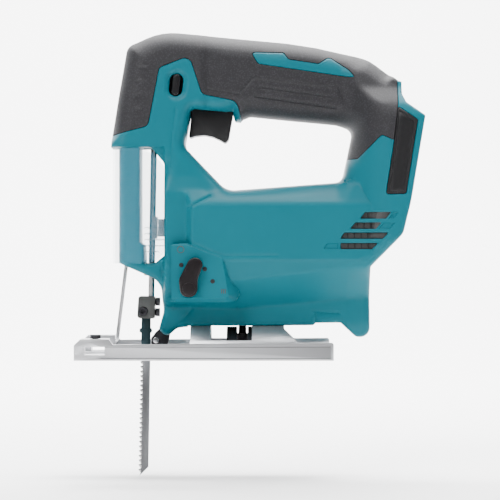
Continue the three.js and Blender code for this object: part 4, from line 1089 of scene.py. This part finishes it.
def add_vent_fins(tree):
    """Upright fins behind the cooling slots."""
    fin = prism("vent_fin", [(-0.4, 0), (0.4, 0), (0.4, 3), (-0.4, 3)], 1.2, 0.1)
    spots = []
    for corners in VENTS:
        x0, z0 = corners[0][:2]
        x1 = corners[1][0]
        for x in np.arange(x0 + 3.2, x1 - 0.5, 4.2):
            width = float(base_width(np.array([[x, z0 + 2]]))[0]) - VENT_DEPTH + 0.1
            for side in (-1, 1):
                spots.append((x + 1.6, side * width, z0 + 0.6))
    aims = [(0, 0, 0)] * len(spots)
    repeated("vent_fins", tree, fin, spots, aims, BLACK, "housing")


def add_cover_ribs(tree):
    """Curved grip ribs low on each side of the dust cover."""
    arc = [
        (-1.9, -0.5), (-0.9, 0.15), (0.9, 0.15), (1.9, -0.5),
        (1.9, 0.15), (0.9, 0.85), (-0.9, 0.85), (-1.9, 0.15),
    ]
    rib = prism("cover_rib", arc, 0.7, 0.12)
    spots, aims = [], []
    for row in range(5):
        for column in range(3):
            x, z = -36 + column * 3.9, 67.6 + row * 3.8
            if x < -29 or row > 0:
                spots += [(x, -21.15, z), (x, 21.15, z)]
                aims += [(0, 0, 0)] * 2
    repeated("cover_ribs", tree, rib, spots, aims, CLEAR_RIB, "dust_cover", ())


# ---- Blade, guard and controls --------------------------------------------------------------
PLUNGER_AXIS = (-34.2, 55)
PLUNGER_LEAN = math.radians(1)
BLADE_CENTRE = -3.0
BLADE_TIP = -76.0
TOOTH_PITCH = 3.0


def on_plunger(x, z):
    """A point of the leaning plunger's own frame, in the tool's frame."""
    cos, sin = math.cos(PLUNGER_LEAN), math.sin(PLUNGER_LEAN)
    return (PLUNGER_AXIS[0] + x * cos + z * sin, PLUNGER_AXIS[1] - x * sin + z * cos)


def add_blade(tree):
    """A T-shank blade: painted shank, ground strip and a row of set teeth."""
    back, front = BLADE_CENTRE + 3.1, BLADE_CENTRE - 3.4
    base = PLUNGER_AXIS[1]
    tip = BLADE_TIP - base
    shank = [
        (BLADE_CENTRE - 3, 31 - base, 0.4), (BLADE_CENTRE + 3, 31 - base, 0.4),
        (BLADE_CENTRE + 3, 19 - base, 0.3), (BLADE_CENTRE + 3.9, 18.4 - base, 0.3),
        (BLADE_CENTRE + 3.9, 16.4 - base, 0.3), (BLADE_CENTRE + 3, 15.8 - base, 0.6),
        (back, 4 - base, 1), (back, 1.2 - base, 0), (front + 1.7, 1.2 - base, 0),
        (front + 0.4, 10 - base, 2), (BLADE_CENTRE - 3, 15.8 - base, 0.6),
        (BLADE_CENTRE - 4.2, 16.4 - base, 0.3), (BLADE_CENTRE - 4.2, 18.4 - base, 0.3),
        (BLADE_CENTRE - 3, 19 - base, 0.3),
    ]
    strip = [
        (front + 1.7, 1.15 - base, 0), (back, 1.15 - base, 0), (back, tip + 6, 0.8),
        (front + 0.6, tip, 0), (front + 1.7, tip + 2.4, 0),
    ]
    for name, corners, thickness, finish, replaced in (
        ("blade_shank", shank, 1.2, BLADE_SHANK, ("saw_blade",)), ("blade_strip", strip, 1.0, BLADE, ()),
    ):
        loop = [on_plunger(x, z) for x, z in rounded(corners, 20)]
        piece(name, prism(name, loop, thickness, 0.12), finish, "plunger", replaced)
    tooth = prism("tooth", [
        (0.35, -1.45), (0.35, 1.45), (-0.2, 1.4), (-1.7, 0.75), (-1.62, 0.55), (-0.25, -1.35),
    ], 0.9, 0.06)
    spots, aims = [], []
    count = int((0.6 - base - tip - 3) / TOOTH_PITCH)
    for k in range(count):
        x, z = on_plunger(front + 1.66, tip + 3.6 + k * TOOTH_PITCH)
        spots.append((x, 0.12 * (-1) ** k, z))
        aims.append((0, PLUNGER_LEAN, 0.1 * (-1) ** k))
    repeated("blade_teeth", tree, tooth, spots, aims, TOOTH, "plunger", ())


def add_guard():
    """The bent wire in front of the blade, swept along its centre line."""
    half = [(-50.2, 4.4, 61.5), (-55.2, 4.4, 21), (-56, 4.3, 14.4), (-56.3, 3.2, 12), (-56.4, 1.4, 11.4)]
    route = [(x, -y, z) for x, y, z in half] + half[::-1]
    curve = bpy.data.curves.new("guard", "CURVE")
    curve.dimensions = "3D"
    curve.bevel_depth = 0.95 * MM
    curve.bevel_resolution = 5
    curve.use_fill_caps = True
    curve.resolution_u = 6
    spline = curve.splines.new("BEZIER")
    spline.bezier_points.add(len(route) - 1)
    for point, place in zip(spline.bezier_points, route):
        point.co = [c * MM for c in place]
        point.handle_left_type = point.handle_right_type = "AUTO"
    for index in (0, 1, len(route) - 2, len(route) - 1):
        spline.bezier_points[index].handle_left_type = "VECTOR"
        spline.bezier_points[index].handle_right_type = "VECTOR"
    holder = placed("guard", curve)
    bpy.context.view_layer.update()
    mesh = bpy.data.meshes.new_from_object(holder.evaluated_get(bpy.context.evaluated_depsgraph_get()))
    bpy.data.objects.remove(holder)
    bm = bmesh.new()
    bm.from_mesh(mesh)
    bmesh.ops.remove_doubles(bm, verts=bm.verts, dist=0.00001)
    bmesh.ops.holes_fill(bm, edges=[e for e in bm.edges if e.is_boundary], sides=64)
    bmesh.ops.recalc_face_normals(bm, faces=bm.faces)
    bm.to_mesh(mesh)
    bm.free()
    piece("finger_guard_wire", mesh, WIRE, "housing", ("finger_guard",))


def crowned(name, loop, base_y, top_y, edge, crown=0.0, rings=5):
    """A closed button shape: loop in X and Z from base_y out to a rounded, slightly domed face at top_y."""
    loop = np.array(loop)
    centre = loop.mean(0)
    side = 1 if top_y > base_y else -1
    layers = [(0.0, base_y)]
    for k in range(rings + 1):
        angle = math.pi / 2 * k / rings
        layers.append((edge * (1 - math.cos(angle)), top_y - side * edge * (1 - math.sin(angle))))
    bm = bmesh.new()
    rows = []
    for inset, y in layers:
        moved = scaled_loop(loop, -inset) if inset else loop
        rows.append([bm.verts.new((x * MM, y * MM, z * MM)) for x, z in moved])
    inner = np.array([(v.co.x / MM, v.co.z / MM) for v in rows[-1]])
    for share in (0.7, 0.4):
        y = top_y + side * crown * (1 - share)
        rows.append([bm.verts.new(((centre[0] + (x - centre[0]) * share) * MM, y * MM,
                                   (centre[1] + (z - centre[1]) * share) * MM)) for x, z in inner])
    joined(bm, rows)
    bm.faces.new(rows[0][::-1])
    bm.faces.new(rows[-1])
    return finished_mesh(bm, name)


def add_lever():
    """The orbit selector: a kidney-shaped knob with a round hub."""
    px, pz = LEVER_PIVOT
    kidney = resampled(rounded([
        (px - 5.1, pz - 5.1, 5), (px + 5.1, pz - 5.1, 5), (px + 5.4, pz + 6, 6),
        (px + 9.6, pz + 17.4, 4.4), (px + 1.4, pz + 21, 5), (px - 6.4, pz + 5.8, 6),
    ], 12), 1.0)
    piece("orbit_knob", crowned("orbit_knob", kidney, -31.72, -37.2, 1.2, 0.25), PLUM, "orbit_selector",
          ("orbit_lever",))
    hub = circle((px, pz), 4.0, 40)
    piece("orbit_hub", crowned("orbit_hub", hub, -37.0, -37.9, 0.35, 0.15), PLUM, "orbit_selector", ())


def add_button():
    loop = stadium(BUTTON_CENTRE, 2.5, 6.9, BUTTON_LEAN)
    piece("lock_off_bar", crowned("lock_off_bar", loop, 15.6, -18.9, 1.1, 0.3), BLACK, "lock_button",
          ("lock_button",))


def add_button_bezels():
    """The dark sleeve round the lock-off button, one in each half."""
    outer = stadium(BUTTON_CENTRE, 4.36, 7.16, BUTTON_LEAN)
    inner = stadium(BUTTON_CENTRE, 2.75, 7.0, BUTTON_LEAN)
    for side, sign in (("left", -1), ("right", 1)):
        rows = [
            (outer, 5.0), (outer, 14.6), (outer * 0.75 + inner * 0.25, 14.9),
            (inner * 0.8 + outer * 0.2, 14.4), (inner, 13.9), (inner, 5.0),
        ]
        bm = bmesh.new()
        rings = [[bm.verts.new((x * MM, sign * y * MM, z * MM)) for x, z in loop] for loop, y in rows]
        joined(bm, rings, rings[:1])
        bmesh.ops.recalc_face_normals(bm, faces=bm.faces)
        mesh = bpy.data.meshes.new("button_bezel")
        bm.to_mesh(mesh)
        bm.free()
        piece(f"button_bezel_{side}", mesh, BLACK, "housing", ())


def add_trigger():
    """The trigger: a curved finger face, rounded across its width."""
    outline = rounded([
        (-10.3, 140, 1.1), (-6, 141.6, 6), (0, 142.2, 8), (5.5, 140.9, 6), (10, 138.8, 3),
        (13.2, 136.9, 1.5), (15.3, 139.4, 2), (17.9, 154.4, 2), (17.9, 160.2, 1), (-8.9, 160.2, 1),
        (-8.9, 152, 3),
    ], 12)
    loop = resampled(outline, 0.9)
    stations = [(-8.55, 0.75), (-8.4, 0.42), (-8.05, 0.14), (-7.6, 0)]
    widths = stations + [(0, 0)] + [(-y, inset) for y, inset in stations[::-1]]
    bm = bmesh.new()
    rows = []
    for y, inset in widths:
        moved = scaled_loop(loop, -inset) if inset > 0 else loop
        rows.append([bm.verts.new((x * MM, y * MM, z * MM)) for x, z in moved])
    joined(bm, rows)
    bm.faces.new(rows[0][::-1])
    bm.faces.new(rows[-1])
    mesh = finished_mesh(bm, "trigger_blade")
    piece("trigger_blade", mesh, BLACK, "trigger", ("trigger",))


def add_lever_marks(tree):
    """Detent dots and the dial's generic numerals on the plate, standing a hair proud."""
    dot = lathe("mark_dot", [(0, 0.25), (1.2, 0.25), (1.45, 0.1), (1.45, -0.6), (0, -0.6)], 28)
    spots = [(-14.2, -31.3, 59.6), (0.5, -31.3, 57.1), (5.4, -31.3, 49.4)]
    out = (math.pi / 2, 0, 0)
    repeated("detent_dots", tree, dot, spots, [out] * 3, PLUM, "housing", ())
    bar = prism("numeral_bar", [(-0.3, -1.5), (0.3, -1.5), (0.3, 1.5), (-0.3, 1.5)], 0.5, 0.08)
    bars = [(11.0 + k * 1.15, -31.35, 43.2) for k in range(3)]
    repeated("numeral_three", tree, bar, bars, [(0, 0, 0)] * 3, CARBON, "housing", ())
    ring = lathe("numeral_ring", [(1.75, 0.25), (2.3, 0.25), (2.3, -0.4), (1.75, -0.4), (1.75, 0.25)], 36)
    repeated("numeral_zero", tree, ring, [(-14.6, -31.3, 69.3)], [out], CARBON, "housing", ())


# ---- Stage, light and camera ----------------------------------------------------------------
def plain(name, color, roughness=0.9):
    made = bpy.data.materials.new(name)
    made.use_nodes = True
    shader = made.node_tree.nodes["Principled BSDF"]
    shader.inputs["Base Color"].default_value = (*color, 1)
    shader.inputs["Roughness"].default_value = roughness
    return made


def add_stage():
    """A pale floor that curves up into a backdrop."""
    floor_z = CAD_BOUNDS[0][2] - 0.0005
    profile = [(-40.0, 0.0), (1.0, 0.0)]
    profile += [(1.0 + 0.8 * math.sin(a), 0.8 - 0.8 * math.cos(a)) for a in np.linspace(0.1, math.pi / 2, 12)]
    profile.append((1.8, 12.0))
    verts = [(x, y, floor_z + z) for y, z in profile for x in (-30.0, 30.0)]
    faces = [(2 * i, 2 * i + 1, 2 * i + 3, 2 * i + 2) for i in range(len(profile) - 1)]
    mesh = bpy.data.meshes.new("backdrop")
    mesh.from_pydata(verts, [], faces)
    for polygon in mesh.polygons:
        polygon.use_smooth = True
    mesh.materials.append(plain("pale_floor", (0.78, 0.78, 0.78)))
    made = placed("backdrop", mesh)


def area_light(name, place, target, size, power):
    data = bpy.data.lights.new(name, "AREA")
    data.shape = "RECTANGLE"
    data.size, data.size_y = size
    data.energy = power
    made = placed(name, data)
    made.location = place
    made.rotation_euler = (Vector(target) - Vector(place)).to_track_quat("-Z", "Y").to_euler()


def add_light():
    middle = (0.03, 0, 0.07)
    area_light("key", (-0.75, -1.15, 1.25), middle, (0.8, 0.8), 38)
    area_light("fill", (1.4, -1.2, 0.5), middle, (0.7, 1.2), 3)
    area_light("top", (0.15, 0.1, 1.5), middle, (1.2, 0.9), 78)
    area_light("back_left", (-1.2, 0.9, 0.8), middle, (0.8, 0.8), 10)
    area_light("wall", (0.0, 0.7, 1.6), (0.0, 1.9, 0.3), (2.4, 0.8), 250)
    world = bpy.data.worlds.new("studio")
    world.use_nodes = True
    world.node_tree.nodes["Background"].inputs["Color"].default_value = (1, 1, 1, 1)
    world.node_tree.nodes["Background"].inputs["Strength"].default_value = 0.3
    bpy.context.scene.world = world


def add_camera():
    data = bpy.data.cameras.new("camera")
    data.sensor_width = 36
    data.lens = 146
    data.clip_start, data.clip_end = 0.05, 20
    camera = placed("camera", data)
    camera.location = (0.0288, -1.3, 0.069)
    camera.rotation_euler = (math.pi / 2, 0, 0)
    bpy.context.scene.camera = camera


# ---- The scene ------------------------------------------------------------------------------
def paint_carried_nodes():
    for node, finish in NODE_FINISH.items():
        mesh = frame["nodes"][node]
        for slot in mesh.material_slots:
            slot.material = finish


add_camera()
add_light()
add_stage()
add_body()
add_dust_cover()
paint_carried_nodes()
ROWS = rows_tree("rows_of_pieces")
add_screws(ROWS)
add_vent_fins(ROWS)
add_cover_ribs(ROWS)
add_blade(ROWS)
add_guard()
add_lever()
add_button()
add_button_bezels()
add_trigger()
add_lever_marks(ROWS)
OWN_SHAPES = {"orbit_lever", "lock_button", "trigger", "finger_guard"}
for node, (finish, radius, slot) in DRESSED.items():
    if node not in OWN_SHAPES:
        dressed(node, finish, radius)
add_shoe_lines()
